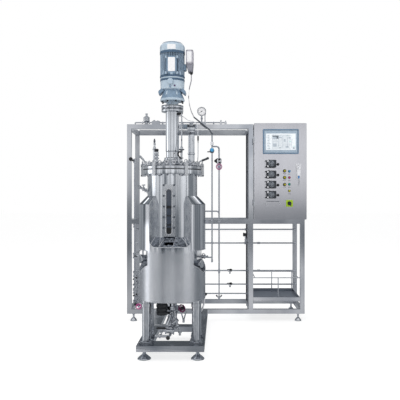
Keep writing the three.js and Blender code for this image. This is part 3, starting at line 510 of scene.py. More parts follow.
# %% [markdown]
# ## Finishes
# Four families cover the machine. Stainless steel is a metal whose colour hardly changes: what tells the
# pieces apart is how they were finished, so each one has its own roughness, the direction and spacing of its
# polishing marks and a slow waviness that makes reflections swim. Enamel is a clear-edged paint with the
# faint orange peel of a spray gun. Moulded plastic has a fine spark-eroded grain. Rubber and glass stand
# apart. Every pattern is drawn in Object coordinates, with its spacing given in millimetres.
# %% Colour and node helpers
def rgb(code):
    """An sRGB hex colour as the linear colour that a shader takes."""
    parts = [int(code[i:i + 2], 16) / 255 for i in (1, 3, 5)]
    return (*[p / 12.92 if p <= 0.04045 else ((p + 0.055) / 1.055) ** 2.4 for p in parts], 1)


def grain(tree, size, detail=2.0, seed=0.0):
    """A noise whose features are `size` millimetres along X, Y and Z."""
    place = linked(tree, "ShaderNodeTexCoord").outputs["Object"]
    spread = linked(tree, "ShaderNodeMapping", {
        "Vector": place, "Scale": [1 / (s * MM) for s in size], "Location": (seed, seed * 0.7, seed * 1.3)})
    return linked(tree, "ShaderNodeTexNoise", {
        "Vector": spread, "Scale": 1.0, "Detail": detail, "Roughness": 0.55}).outputs["Fac"]


def spread_to(tree, source, low, high, near=0.3, far=0.7):
    """Map the middle of a noise to a range."""
    return linked(tree, "ShaderNodeMapRange", {
        "Value": source, "From Min": near, "From Max": far, "To Min": low, "To Max": high})


def tinted(tree, source, light, dark):
    """Blend two colours by a noise."""
    share = spread_to(tree, source, 0, 1)
    mix = linked(tree, "ShaderNodeMix", {"Factor": share}, data_type="RGBA")
    return wire(tree, mix, {"A": rgb(dark), "B": rgb(light)}).outputs["Result"]


def bumped(tree, source, depth, under=None):
    """A bump of `depth` millimetres, laid over another one if given."""
    bump = linked(tree, "ShaderNodeBump", {"Height": source, "Strength": 1.0, "Distance": depth * MM})
    return wire(tree, bump, {"Normal": under}) if under else bump


def blank(name):
    """A new material with its tree emptied but for the shader."""
    finish = bpy.data.materials.new(name)
    finish.use_nodes = True
    return finish, finish.node_tree, finish.node_tree.nodes["Principled BSDF"]


# %% Stainless steel
def stainless(name, light, dark, rough, mark, mark_depth=0.004, wave=(90, 90, 300), wave_depth=0.0, tone=60,
              brushed=0.0):
    """Stainless steel with polishing marks of the given spacing and an optional slow waviness.

    `rough` is the least and most roughness, `mark` the size of a mark along X, Y and Z, and `brushed` how
    strongly upright brush lines smear a reflection sideways."""
    finish, tree, shader = blank(name)
    if brushed:
        around = linked(tree, "ShaderNodeTangent", direction_type="RADIAL", axis="Z")
        wire(tree, shader, {"Anisotropic": brushed, "Tangent": around})
    fine = grain(tree, mark, 3.0)
    cloud = grain(tree, (tone, tone, tone * 2), 2.0, seed=3.0)
    normal = bumped(tree, fine, mark_depth)
    if wave_depth:
        normal = bumped(tree, grain(tree, wave, 1.0, seed=7.0), wave_depth, normal)
    wire(tree, shader, {"Metallic": 1.0, "Base Color": tinted(tree, cloud, light, dark),
                        "Roughness": spread_to(tree, fine, *rough), "Normal": normal})
    return finish


# Square tube is bought ground and wiped along its length: even, soft, with no clear direction from afar.
SATIN = stainless("ground_stainless_tube", "#DDDEE2", "#A3A7AF", (0.08, 0.13), (1.5, 1.5, 1.5), 0.001,
                  tone=300)
SOFT_SATIN = stainless("ground_stainless_rear_tube", "#EBEDF1", "#B4B8C0", (0.3, 0.4), (1.5, 1.5, 1.5), 0.001,
                       tone=300)
# The cladding is bright rolled sheet, so it mirrors the room with a slow waver.
MIRROR = stainless("bright_rolled_stainless_sheet", "#D9DBE0", "#D0D3D9", (0.05, 0.08), (0.8, 0.8, 14),
                   0.0006, (38, 38, 460), 0.42)
# Below its windows the cladding is a second sheet with an upright brush, which smears the room sideways.
SEAM_HEIGHT = 745
SEAM_BLEND = 20
sheet_tree = MIRROR.node_tree
sheet_shader = sheet_tree.nodes["Principled BSDF"]
spot = linked(sheet_tree, "ShaderNodeTexCoord").outputs["Object"]
levels = linked(sheet_tree, "ShaderNodeSeparateXYZ", {0: spot})
below = linked(sheet_tree, "ShaderNodeMapRange", {
    "Value": levels.outputs["Z"], "From Min": (SEAM_HEIGHT + SEAM_BLEND) * MM,
    "From Max": (SEAM_HEIGHT - SEAM_BLEND) * MM})
bright = sheet_shader.inputs["Roughness"].links[0].from_socket
rough = linked(sheet_tree, "ShaderNodeMath", {0: below, 1: 0.16, 2: bright}, operation="MULTIPLY_ADD")
smear = linked(sheet_tree, "ShaderNodeMath", {0: below, 1: 0.9}, operation="MULTIPLY")
around = linked(sheet_tree, "ShaderNodeTangent", direction_type="RADIAL", axis="Z")
wire(sheet_tree, sheet_shader, {"Roughness": rough, "Anisotropic": smear, "Tangent": around})
# The vessel wall is ground and electropolished, with upright marks from the belt.
POLISHED = stainless("electropolished_vessel_wall", "#D4D7DC", "#C6CAD0", (0.07, 0.13), (0.8, 0.8, 24), 0.001,
                     (42, 42, 420), 0.7)
# Turned flanges, clamps and valve bodies are buffed, which leaves soft highlights.
BUFFED = stainless("buffed_stainless_fittings", "#D6D8DC", "#BDC1C8", (0.12, 0.2), (1.2, 1.2, 1.2), 0.002,
                   tone=30)
# Thin pipe is drawn bright and handled a lot, so it is a little duller.
DRAWN = stainless("drawn_stainless_pipe", "#CACDD3", "#B4B8C0", (0.18, 0.28), (1.0, 1.0, 6.0), 0.002, tone=50)
# Castings and clevises are bead blasted and look grey beside turned steel.
BLASTED = stainless("bead_blasted_stainless", "#B4B8BF", "#9EA3AC", (0.34, 0.44), (0.7, 0.7, 0.7), 0.012,
                    tone=25)
# Cabinet sheet has a fine upright brush, its lines drawn about 1 mm wide so that they show.
BRUSHED = stainless("brushed_stainless_cabinet", "#CDCDD2", "#C3C3C9", (0.14, 0.18), (1.1, 1.1, 90), 0.001,
                    tone=220, brushed=0.7)
# Reveals are folded and hammered by hand, so they throw crumpled reflections.
FOLDED = stainless("hand_folded_stainless_reveal", "#FFFFFF", "#CACED4", (0.24, 0.36), (3, 3, 12), 0.004,
                   (26, 26, 130), 0.8, tone=26)
# The sill is beaten into place, so it is all small facets that show the dark roof and the white walls;
# its darker steel colour also paints the sill's shade.
CRUMPLED = stainless("beaten_sill_with_painted_shade", "#9499A2", "#555B65", (0.06, 0.12), (3, 3, 3), 0.004,
                     (24, 24, 24), 3.4, tone=13)
# Small screws and rollers are a darker stainless that reads as dark dots. The same dark steel also
# paints shade on a few added strips, washers and collars.
SHADED = stainless("dark_steel_and_painted_shade", "#7E838C", "#666B74", (0.3, 0.4), (1, 1, 1), 0.004, tone=12)
# Lips, straps, eyes, rims, folds and a few screws are a near-white steel, which paints highlights on them.
HIGHLIGHT_STEEL = stainless("painted_highlight_stainless", "#F4F5F8", "#E6E8EC", (0.42, 0.52), (1, 1, 8), 0.002, tone=40)


# %% Enamel, plastic, rubber and glass
def enamel(name, light, dark, rough=0.34, peel=2.4, depth=0.012, tone=45):
    """Sprayed enamel on metal: a clear coat over colour, with orange peel."""
    finish, tree, shader = blank(name)
    cloud = grain(tree, (tone, tone, tone), 3.0)
    peeled = grain(tree, (peel, peel, peel), 1.0, seed=2.0)
    wire(tree, shader, {"Coat Weight": 0.25, "Coat Roughness": 0.18,
                        "Base Color": tinted(tree, cloud, light, dark),
                        "Roughness": spread_to(tree, cloud, rough * 0.9, rough * 1.15),
                        "Normal": bumped(tree, peeled, depth)})
    return finish


def moulded(name, light, dark, rough=0.38, pit=0.9, depth=0.01, tone=16):
    """Moulded plastic with a spark-eroded grain and a slight variation of colour."""
    finish, tree, shader = blank(name)
    pits = grain(tree, (pit, pit, pit), 2.0)
    cloud = grain(tree, (tone, tone, tone), 2.0, seed=5.0)
    wire(tree, shader, {"IOR": 1.5, "Base Color": tinted(tree, cloud, light, dark),
                        "Roughness": spread_to(tree, pits, rough * 0.85, rough * 1.2),
                        "Normal": bumped(tree, pits, depth)})
    return finish


def lens(name, colour, deep, glow=0.0):
    """A coloured polycarbonate lens with a soft inner tone."""
    finish = moulded(name, colour, deep, rough=0.14, pit=3.0, depth=0.004, tone=9)
    wire(finish.node_tree, finish.node_tree.nodes["Principled BSDF"], {
        "Coat Weight": 0.6, "Emission Color": rgb(colour), "Emission Strength": glow})
    return finish


# The drive is sprayed over castings; its two darker blues mostly paint shade, in hollows, at joints and
# between the motor fins. Boxes and the screen rim are sprayed sheet.
MOTOR_BLUE = enamel("blue_grey_motor_enamel", "#AEC0D0", "#98ACC0")
SHADOW_BLUE = enamel("painted_shadow_blue_enamel", "#4E667F", "#3E566E")
GEAR_BLUE = enamel("pale_blue_gear_enamel", "#BCCBD7", "#A8BACA")
SHADED_BLUE = enamel("blue_grey_casting_enamel", "#8198AE", "#6F869C")
BOX_GREY = enamel("light_grey_box_enamel", "#BEBCC4", "#B0AEB7", rough=0.42)
BOX_DARK = enamel("mid_grey_box_enamel", "#8E8F99", "#80818B", rough=0.42)
RIM_BLUE = enamel("blue_grey_screen_rim", "#6D87A1", "#5F7991", rough=0.36, peel=1.6, depth=0.004)
# Knobs, pump heads and levers are phenolic or glass-filled nylon, more or less rubbed by hands.
BLACK = moulded("black_phenolic_knob", "#26282C", "#17181B", rough=0.3)
RIBBED = moulded("black_actuator_moulding", "#2A2D32", "#1C1E22", rough=0.36)
DARK = moulded("dark_grey_pump_moulding", "#5C6169", "#4C5159", rough=0.46)
PUMP = moulded("charcoal_pump_moulding", "#3E4249", "#2F3339", rough=0.42)
ROTOR = moulded("grey_rotor_moulding", "#8B9199", "#565C64", rough=0.5, tone=7)
SLATE = moulded("slate_tray_liner", "#717985", "#646C78", rough=0.5)
NAVY = moulded("navy_switch_moulding", "#222C40", "#151C2B", rough=0.3)
# Switches, caps and handwheels are coloured right through, so a worn edge keeps its colour.
YELLOW = moulded("yellow_switch_moulding", "#CFC72A", "#B2AA1C", rough=0.32)
LIME = moulded("yellow_green_switch_plate", "#B0D322", "#A0C41C", rough=0.36)
KEY_BLUE = moulded("blue_key_moulding", "#3F7FBC", "#336FA9", rough=0.3)
CAP_BLUE = moulded("light_blue_valve_cap", "#5AACDB", "#479BCD", rough=0.24)
PURPLE = moulded("purple_handwheel_moulding", "#B4749B", "#9C5C84", rough=0.32)
PLUM = moulded("plum_handwheel_moulding", "#6B2353", "#521A3F", rough=0.32)
MAGENTA = moulded("magenta_handwheel_moulding", "#C94F9B", "#B23D86", rough=0.32)
VIOLET = moulded("violet_vent_plug", "#5A3A6A", "#492E57", rough=0.32)
PEARL = moulded("off_white_lock_moulding", "#E6E7EB", "#DDDEE3", rough=0.5, depth=0.003)
BEZEL = moulded("pale_blue_screen_bezel", "#ABBCCB", "#9EB0C0", rough=0.3, pit=1.2, depth=0.003)
DIAL = moulded("white_dial_enamel", "#F1F1F2", "#E6E6E9", rough=0.3, pit=2.0, depth=0.001)
LABEL = moulded("bare_white_label_stock", "#F2F2F3", "#E9E9EC", rough=0.5, pit=1.5, depth=0.003)
# Gasket, cable sheath and hose are soft: rubber is matt, PVC has a dull shine and silicone is milky.
RUBBER = moulded("black_epdm_gasket", "#1C1D20", "#121315", rough=0.7, pit=1.4, depth=0.02)
PVC = moulded("grey_pvc_cable_sheath", "#BDBBC2", "#A9A8B0", rough=0.45, pit=2.0, depth=0.01)
HOSE = moulded("milky_silicone_hose", "#D9DBDF", "#C6C9CF", rough=0.28, pit=2.0, depth=0.004)
# Lenses and the screen are clear polycarbonate over a lit or printed field.
SCREEN = lens("lit_touch_screen", "#F1F5F8", "#E4ECF2", glow=0.1)
SCREEN_GREY = lens("grey_screen_field", "#B9C3CC", "#A9B5C0", glow=0.05)
SCREEN_PALE = lens("pale_screen_field", "#DCE2E7", "#D2DAE0", glow=0.08)
SCREEN_TEAL = lens("teal_screen_field", "#9FD3CC", "#8CC6BE", glow=0.12)
GLASS_DARK = lens("dark_sight_glass", "#3A4250", "#2C333F")
BLUE_LAMP = lens("blue_lamp_lens", "#4C97C6", "#3477A6", glow=0.08)
MAGENTA_LAMP = lens("magenta_lamp_lens", "#B0306F", "#8C2056", glow=0.08)
GREEN_LAMP = lens("green_lamp_lens", "#17A08C", "#0F7B6B", glow=0.08)
YELLOW_LAMP = lens("yellow_lamp_lens", "#B5AD20", "#948C12", glow=0.08)
# A slot is what a user repaints in one go; the table groups the finishes by slot.
SLOTS = {"frame_steel": (SATIN, SOFT_SATIN, DRAWN), "mirror_steel": (MIRROR, FOLDED, CRUMPLED),
         "polished_steel": (POLISHED, BUFFED, BLASTED, HIGHLIGHT_STEEL, SHADED), "cabinet_steel": (BRUSHED,),
         "motor_paint": (MOTOR_BLUE, SHADOW_BLUE), "drive_paint": (GEAR_BLUE, SHADED_BLUE),
         "box_paint": (BOX_GREY, BOX_DARK), "black_rubber": (RUBBER, PVC, RIBBED, BLACK),
         "dark_plastic": (DARK, PUMP, ROTOR, SLATE), "navy_plastic": (NAVY,),
         "yellow_plastic": (YELLOW, LIME, YELLOW_LAMP),
         "blue_plastic": (CAP_BLUE, KEY_BLUE, BLUE_LAMP, GREEN_LAMP),
         "purple_plastic": (PURPLE, PLUM, MAGENTA, VIOLET, MAGENTA_LAMP),
         "white_plastic": (PEARL, LABEL, DIAL, HOSE, SCREEN), "dark_glass": (GLASS_DARK,),
         "screen_panel": (RIM_BLUE, BEZEL, SCREEN_GREY, SCREEN_PALE, SCREEN_TEAL)}
SLOT_OF = {finish.name: slot for slot, finishes in SLOTS.items() for finish in finishes}
print("finishes", len(SLOT_OF), "in", len(SLOTS), "slots")
# %% [markdown]
# ## Motor cable
# One grey PVC cable, about 8 mm thick, leaves the gland under the terminal box and runs back and down to the
# mouth of the dark conduit on the skid, so both of its ends go into something. A sheath is swept along the
# same route as the solid: straight out of the gland, then one long slack curve.
# %% Lay the motor cable
CABLE = [(-168, -734, 1975.5), (-168, -730, 1935), (-187, -638, 1901), (-203, -438, 1871),
         (-210, -158, 1856), (-208, 112, 1845), (-197, 320, 1832)]
CABLE_RADIUS = 4
shift_y = vy + 734
cable_route = rounded([(x, y + shift_y, z) for x, y, z in CABLE], 40, 5)
work = bmesh.new()
tube(work, cable_route, CABLE_RADIUS, bend=0, steps=14)
cable = piece("motor_cable_sheath", work, PVC, solid="motor_cable")
# %% [markdown]
# ## Room and light
# Polished steel has no colour of its own to show: it shows the room. The world is therefore a studio. Seen
# directly it is a white backdrop, and it lights paint and plastic evenly. Metal sees the same room fitted out
# for it: light walls with a dark band at the camera's height, upright strips of white card and black cloth,
# and soft boxes in the ceiling. A flat face shows which height of the room it looks at, and a round one
# squeezes the strips into the light and dark lines that make it read as steel.
# %% Build the studio
# Upright strips: an angle round the room from the camera's direction, and its brightness against a wall.
STRIPS = [(-180, 0.45), (-130, 0.5), (-112, 0.45), (-104, 0.55), (-101, 2.3), (-83, 2.3), (-77, 0.8),
          (-66, 1.0), (-58, 0.6), (-48, 1.0), (-37, 0.95), (-31, 0.3), (-25, 0.3), (-19, 0.95), (-9, 0.8),
          (0, 1.0), (10, 1.0), (14, 0.5), (20, 0.5), (26, 0.95), (36, 0.6), (46, 1.0), (62, 1.3), (70, 0.8),
          (80, 1.0), (90, 0.3), (112, 0.35), (126, 0.55), (142, 0.4), (165, 0.5), (180, 0.45)]
# Wall brightness by height: the sine of the angle above the horizon, and the brightness there.
HEIGHTS = [(-1.0, 0.6), (-0.4, 0.6), (-0.31, 0.42), (-0.25, 0.46), (-0.2, 0.66), (-0.1, 0.68), (0.0, 0.78),
           (0.05, 1.0), (0.135, 1.1), (0.162, 0.5), (0.178, 0.16), (0.38, 0.18), (0.52, 1.0), (1.0, 1.0)]
# Fine strips: how many degrees wide, and how much they add to or take from a wall.
FINE_WIDTH = 5.0
FINE_DEPTH = 0.42
# What hangs under the roof, seen by faces that lean back: angle round the room, and brightness.
CEILING = [(-180, 0.5), (-153, 0.9), (-148, 1.9), (-142, 1.9), (-139, 0.3), (-115, 0.25), (-90, 0.45),
           (-50, 1.0), (50, 1.0), (90, 0.45), (115, 0.25), (140, 0.3), (142, 1.2), (145, 0.35), (148, 1.5),
           (155, 1.1), (159, 0.4), (180, 0.5)]
# Dark gear in the room: middle angle, half width, middle height, half height, and the light it takes.
GEAR = [(0, 40, -0.052, 0.042, 0.64), (-97, 17, -0.012, 0.026, 0.62)]
BACKDROP = 1.0
FILL = 0.62
WHITE = (1, 1, 1, 1)
# The brightness that full white stands for in the tables.
STRIP_PEAK = 3.0
WALL_PEAK = 1.2


def ramp(tree, source, low, high, table, peak):
    """A table of (position, brightness) pairs read at a value; full white stands for `peak`."""
    share = linked(tree, "ShaderNodeMapRange", {"Value": source, "From Min": low, "From Max": high})
    shades = linked(tree, "ShaderNodeValToRGB", {0: share})
    stops = shades.color_ramp.elements
    for place, _ in table[1:-1]:
        stops.new((place - low) / (high - low))
    for stop, (place, level) in zip(stops, table):
        stop.position = (place - low) / (high - low)
        stop.color = (*[level / peak] * 3, 1)
    return linked(tree, "ShaderNodeMath", {0: shades, 1: peak}, operation="MULTIPLY")


def shade(tree, angle, height, kept, where, half, level, tall, taken):
    """Multiply what is kept of the light by a soft dark patch of the room."""
    share = []
    for source, centre, reach in ((angle, where, half), (height, level, tall)):
        shifted = linked(tree, "ShaderNodeMath", {0: source, 1: centre}, operation="SUBTRACT")
        apart = linked(tree, "ShaderNodeMath", {0: shifted}, operation="ABSOLUTE")
        share.append(linked(tree, "ShaderNodeMapRange", {
            "Value": apart, "From Min": reach * 1.2, "From Max": reach * 0.8}))
    patch = linked(tree, "ShaderNodeMath", {0: share[0], 1: share[1]}, operation="MULTIPLY")
    left = linked(tree, "ShaderNodeMath", {0: patch, 1: -taken, 2: 1.0}, operation="MULTIPLY_ADD")
    return linked(tree, "ShaderNodeMath", {0: kept, 1: left}, operation="MULTIPLY")


def lit_room(tree, angle, height):
    """How bright the room is where a reflected ray ends, by its angle round the room and its height."""
    place = linked(tree, "ShaderNodeMath", {0: angle, 1: 1 / FINE_WIDTH}, operation="MULTIPLY")
    noise = linked(tree, "ShaderNodeTexNoise", {"W": place, "Scale": 1.0, "Detail": 1.0},
                   noise_dimensions="1D")
    swing = spread_to(tree, noise.outputs["Fac"], 1 - FINE_DEPTH, 1 + FINE_DEPTH)
    sharp = linked(tree, "ShaderNodeMath", {0: ramp(tree, angle, -180, 180, STRIPS, STRIP_PEAK), 1: swing},
                   operation="MULTIPLY")
    high = linked(tree, "ShaderNodeMapRange", {
        "Value": height, "From Min": 0.05, "From Max": 0.15, "To Min": 1.0, "To Max": 0.5})
    strips = linked(tree, "ShaderNodeMix", {"Factor": high, "A": 0.95, "B": sharp}).outputs["Result"]
    walls = linked(tree, "ShaderNodeMath", {0: strips, 1: ramp(tree, height, -1, 1, HEIGHTS, WALL_PEAK)},
                   operation="MULTIPLY")
    over = linked(tree, "ShaderNodeMath", {0: swing, 1: 0.9}, operation="MULTIPLY")
    roof = linked(tree, "ShaderNodeMath", {0: ramp(tree, angle, -180, 180, CEILING, STRIP_PEAK), 1: over},
                  operation="MULTIPLY")
    lifted = linked(tree, "ShaderNodeMapRange", {"Value": height, "From Min": 0.42, "From Max": 0.5})
    level = linked(tree, "ShaderNodeMix", {"Factor": lifted, "A": walls, "B": roof}).outputs["Result"]
    kept = 1.0
    for gear in GEAR:
        kept = shade(tree, angle, height, kept, *gear)
    return linked(tree, "ShaderNodeMath", {0: level, 1: kept}, operation="MULTIPLY")


def studio():
    """A world that is white to the eye, even to diffuse light and a lit room to metal."""
    world = bpy.data.worlds.new("studio")
    scene.world = world
    world.use_nodes = True
    tree = world.node_tree
    tree.nodes.clear()
    ray = linked(tree, "ShaderNodeTexCoord").outputs["Generated"]
    parts = linked(tree, "ShaderNodeSeparateXYZ", {0: ray}).outputs
    back = linked(tree, "ShaderNodeMath", {0: parts["Y"], 1: -1.0}, operation="MULTIPLY")
    turn = linked(tree, "ShaderNodeMath", {0: parts["X"], 1: back}, operation="ARCTAN2")
    angle = linked(tree, "ShaderNodeMath", {0: turn, 1: 180 / math.pi}, operation="MULTIPLY")
    level = lit_room(tree, angle, parts["Z"])
    cool = linked(tree, "ShaderNodeMapRange", {"Value": level, "From Min": 0.08, "From Max": 0.6})
    tint = linked(tree, "ShaderNodeMix", {"Factor": cool}, data_type="RGBA")
    wire(tree, tint, {"A": (0.78, 0.89, 1.0, 1), "B": (0.98, 0.99, 1.0, 1)})
    room = linked(tree, "ShaderNodeEmission", {"Color": tint.outputs["Result"], "Strength": level})
    even = linked(tree, "ShaderNodeEmission", {"Color": WHITE, "Strength": FILL})
    white = linked(tree, "ShaderNodeEmission", {"Color": WHITE, "Strength": BACKDROP})
    path = linked(tree, "ShaderNodeLightPath").outputs
    seen = linked(tree, "ShaderNodeMath", {0: path["Is Camera Ray"], 1: path["Is Transmission Ray"]},
                  operation="MAXIMUM")
    lit = linked(tree, "ShaderNodeMixShader", {0: path["Is Glossy Ray"], 1: even, 2: room})
    whole = linked(tree, "ShaderNodeMixShader", {0: seen, 1: lit, 2: white})
    linked(tree, "ShaderNodeOutputWorld", {"Surface": whole})


def lamp(name, place, target, size, power):
    """A soft square lamp aimed at a point, all in metres."""
    data = bpy.data.lights.new(name, "AREA")
    data.size = size
    data.energy = power
    obj = placed(name, data)
    obj.location = place
    obj.rotation_euler = (Vector(target) - Vector(place)).to_track_quat("-Z", "Y").to_euler()
    obj.visible_glossy = False


def floor():
    """A pale floor that looks white where it is lit and keeps the shadow under the feet."""
    work = bmesh.new()
    bmesh.ops.create_grid(work, x_segments=1, y_segments=1, size=45)
    mesh = bpy.data.meshes.new("floor")
    work.to_mesh(mesh)
    work.free()
    finish, tree, shader = blank("pale_floor")
    wire(tree, shader, {"Base Color": (0.9, 0.9, 0.9, 1), "Roughness": 0.9})
    white = linked(tree, "ShaderNodeEmission", {"Color": WHITE, "Strength": 1.35})
    share = linked(tree, "ShaderNodeMath", {0: linked(tree, "ShaderNodeLightPath").outputs["Is Camera Ray"],
                                            1: 0.55}, operation="MULTIPLY")
    mix = linked(tree, "ShaderNodeMixShader", {0: share, 1: shader, 2: white})
    wire(tree, tree.nodes["Material Output"], {"Surface": mix})
    mesh.materials.append(finish)
    obj = placed("floor", mesh)
    obj.visible_glossy = False


studio()
floor()
lamp("key", (-2.6, -4.2, 4.2), (0, -0.3, 1.1), 2.6, 90)
lamp("fill", (3.4, -3.4, 2.6), (0, -0.2, 1.0), 2.4, 40)
lamp("top", (0.0, 0.2, 5.0), (0, 0, 1.0), 4.0, 70)
scene.view_settings.view_transform = "Standard"
print("studio strips", len(STRIPS))
# %% [markdown]
# ## Skid and base frame
# The skid is welded from 40 mm square stainless tube with 3 mm rolled corners. The two ladder frames are
# copied from the frame's own solids, so every joint stays where it is, and all their edges are rounded; the
# inner corners get the same small fillet, which is what a ground weld leaves. The cross-members between them
# are a rounded square swept from one ladder to the other, so that they have no groove where they meet. A
# closed cable tray lies on the rear top rail and a black duct runs down beside the middle rear post.
# %% Weld the frame
TUBE_CORNER = 3.0
for name, finish in (("front_frame", SATIN), ("rear_frame", SOFT_SATIN)):
    piece(name + "_tube", copied(name, TUBE_CORNER, 2), finish, solid=name)
CROSSES = [n for n in nodes if n.startswith("cross_")]
for name in CROSSES:
    work = bmesh.new()
    low, high = span(name)
    panel(work, (low.x, low.z), (high.x, high.z), TUBE_CORNER, low.y, high.y, edge=0, steps=3)
    piece(name + "_tube", work, SATIN, solid=name)
work = bmesh.new()
block(work, (skid_left + TUBE, rear_y - TUBE + 4, skid_top - 0.5), (post_x, rear_y - 4, skid_top + 14), 2)
piece("rear_cable_tray", work, HIGHLIGHT_STEEL, slot="frame_steel")
work = bmesh.new()
block(work, (post_x + 1, rear_y - TUBE - 4, 45), (post_x + 13, rear_y - TUBE + 0.3, skid_top - 4), 1.5)
piece("rear_post_duct", work, RIBBED)
print("skid", len(CROSSES), "cross-members")
# %% [markdown]
# Open tube ends would hold dirt, so each is closed with a thin welded cap that stands a hair proud. A weld
# bead runs round each cross-member where it meets the ladders.
# %% Cap the tube ends and lay the welds
def weld_square(work, low, high, at, bead=2.2):
    """A fine bead round a square tube at a Y station."""
    rows = []
    for x, z in rounded_outline((low.x - 0.5, low.z - 0.5), (high.x + 0.5, high.z + 0.5), 4, 3):
        spot = Vector((x, at, z))
        out = spot - (low + high) / 2
        out.y = 0
        out.normalize()
        ring = [(out * math.cos(a) + Vector((0, 1, 0)) * math.sin(a)) * bead for a in turns(5)]
        rows.append([work.verts.new(spot + arm) for arm in ring])
    skin(work, rows, True)


work = bmesh.new()
for name in CROSSES:
    low, high = span(name)
    weld_square(work, low, high, low.y + 0.6)
    weld_square(work, low, high, high.y - 0.6)
piece("cross_member_welds", work, BLASTED, slot="frame_steel")

work = bmesh.new()
for x in (skid_left, post_x):
    for y in (face_y, rear_y - TUBE):
        block(work, (x + 2, y + 2, skid_top - 0.5), (x + TUBE - 2, y + TUBE - 2, skid_top + 1.2), 0.8)
piece("post_end_caps", work, SATIN)
base_low, base_high = span("base_frame")
piece("base_frame_tube", copied("base_frame", 4.0, 3), SATIN, solid="base_frame")
print("base frame", [round(v) for v in base_high - base_low])
# %% [markdown]
# ## Feet and legs
# The two front feet are turned levelling pads on a threaded spindle; the four under the skid are small bell
# feet. Both are lathe profiles. Each vessel leg is a 60 mm tube on a square plate, held by four screws, with
# a ring of weld where it meets the plate and a collar under the vessel.
# %% Turn the feet
def thread(profile_low, profile_high, outer, pitch=3.0, depth=0.9):
    """Rings of a screw thread as a lathe profile between two heights."""
    out = []
    height = profile_low
    while height < profile_high:
        out += [(outer, height), (outer - depth, height + pitch / 2)]
        height += pitch
    return out


def base_foot(name):
    """A wide turned pad on a threaded spindle with a nut."""
    x, y, _ = middle(name)
    top = span(name)[1].z
    pad = soften([(0, 0), (46, 0), (47, 3), (45, 9), (30, 23), (19, 31), (15, 36), (12, 38)], 2)
    spindle = thread(38, top - 13, 12) + [(12, top - 12)]
    nut = [(20, top - 12), (20, top - 3), (13, top - 1), (13, top), (0, top)]
    turned(name + "_turned", pad + spindle + nut, POLISHED, (x, y, 0), steps=40, solid=name)


def frame_foot(name):
    """A small bell on a thinner spindle."""
    x, y, _ = middle(name)
    top = span(name)[1].z
    bell = soften([(0, 0), (30, 0), (30, 5), (28, 9), (19, 24), (11, 31), (8, 34)], 2)
    spindle = thread(34, top - 8, 8, 2.5, 0.7) + [(8, top - 7), (14, top - 7), (14, top), (0, top)]
    turned(name + "_turned", bell + spindle, BUFFED, (x, y, 0), steps=32, solid=name)


for name in ("base_foot_left", "base_foot_right"):
    base_foot(name)
for i in range(1, 5):
    frame_foot(f"frame_foot_{i}")
# %% Make the vessel legs
LEG_R = 30
LEG_PLATE = 8
leg_screws = []


def vessel_leg(name):
    """A tube on a plate, welded below and collared above; its four screws are noted for later."""
    low, high = span(name)
    x, y, _ = middle(name)
    work = bmesh.new()
    block(work, low, (high.x, high.y, low.z + LEG_PLATE), 1.5)
    base = low.z + LEG_PLATE - 1
    weld = [(0, base), (LEG_R + 5, base), (LEG_R + 4, base + 4), (LEG_R, base + 7)]
    collar = [(LEG_R, high.z - 46), (LEG_R + 4, high.z - 44), (LEG_R + 4, high.z - 22), (LEG_R, high.z - 20)]
    lathe(work, weld + soften(collar, 1) + [(LEG_R, high.z), (0, high.z)], (x, y, 0), steps=40)
    piece(name + "_tube", work, BUFFED, solid=name)
    for dx in (-1, 1):
        for dy in (-1, 1):
            leg_screws.append(((x + dx * 34, y + dy * 34, low.z + LEG_PLATE + 0.9), (0, 0, 1)))


for i in range(1, 5):
    vessel_leg(f"vessel_leg_{i}")
screws("leg_plate_screws", leg_screws, BUFFED, across=16, height=8)
print("leg screws", len(leg_screws))
# %% [markdown]
# ## Vessel wall
# The vessel is a rolled and welded cylinder with a dished bottom, an outlet nozzle and a thick bolted flange.
# A lathe profile makes all of that in one closed wall. The slot for the sight glass is cut through the wall.
# Each side nozzle is a short tube that ends in a clamped cap.
# %% Turn the vessel wall
UP = Vector((0, 0, 1))
WALL = [(22, 330), (50, 330), (50, 344), (32, 344), (32, 410), (88, 416), (118, 424), (140, 436), (156, 452),
        (168, 474), (SHELL_R, 500), (SHELL_R, flange_low), (FLANGE_R, flange_low), (FLANGE_R, gasket_low),
        (BORE_R, gasket_low), (BORE_R, 508), (138, 474), (112, 452), (68, 436), (22, 428), (22, 330)]
SIGHT_X = vx - 8
sight_low, sight_high = span("sight_frame")


def about_axis(radius, degrees, height):
    """A point round the vessel; zero degrees faces the front."""
    turn = math.radians(degrees)
    return Vector((vx + radius * math.sin(turn), vy - radius * math.cos(turn), height))


work, slot_cut = bmesh.new(), bmesh.new()
lathe(work, soften(WALL, 2.5), AXIS, steps=128)
plate(slot_cut, slot_outline(SIGHT_X, 12, 863, 1157), vy - 200, vy - 110, edge=0)
piece("vessel_wall", combined(work, [slot_cut]), POLISHED, solid="vessel_shell", angle=30)
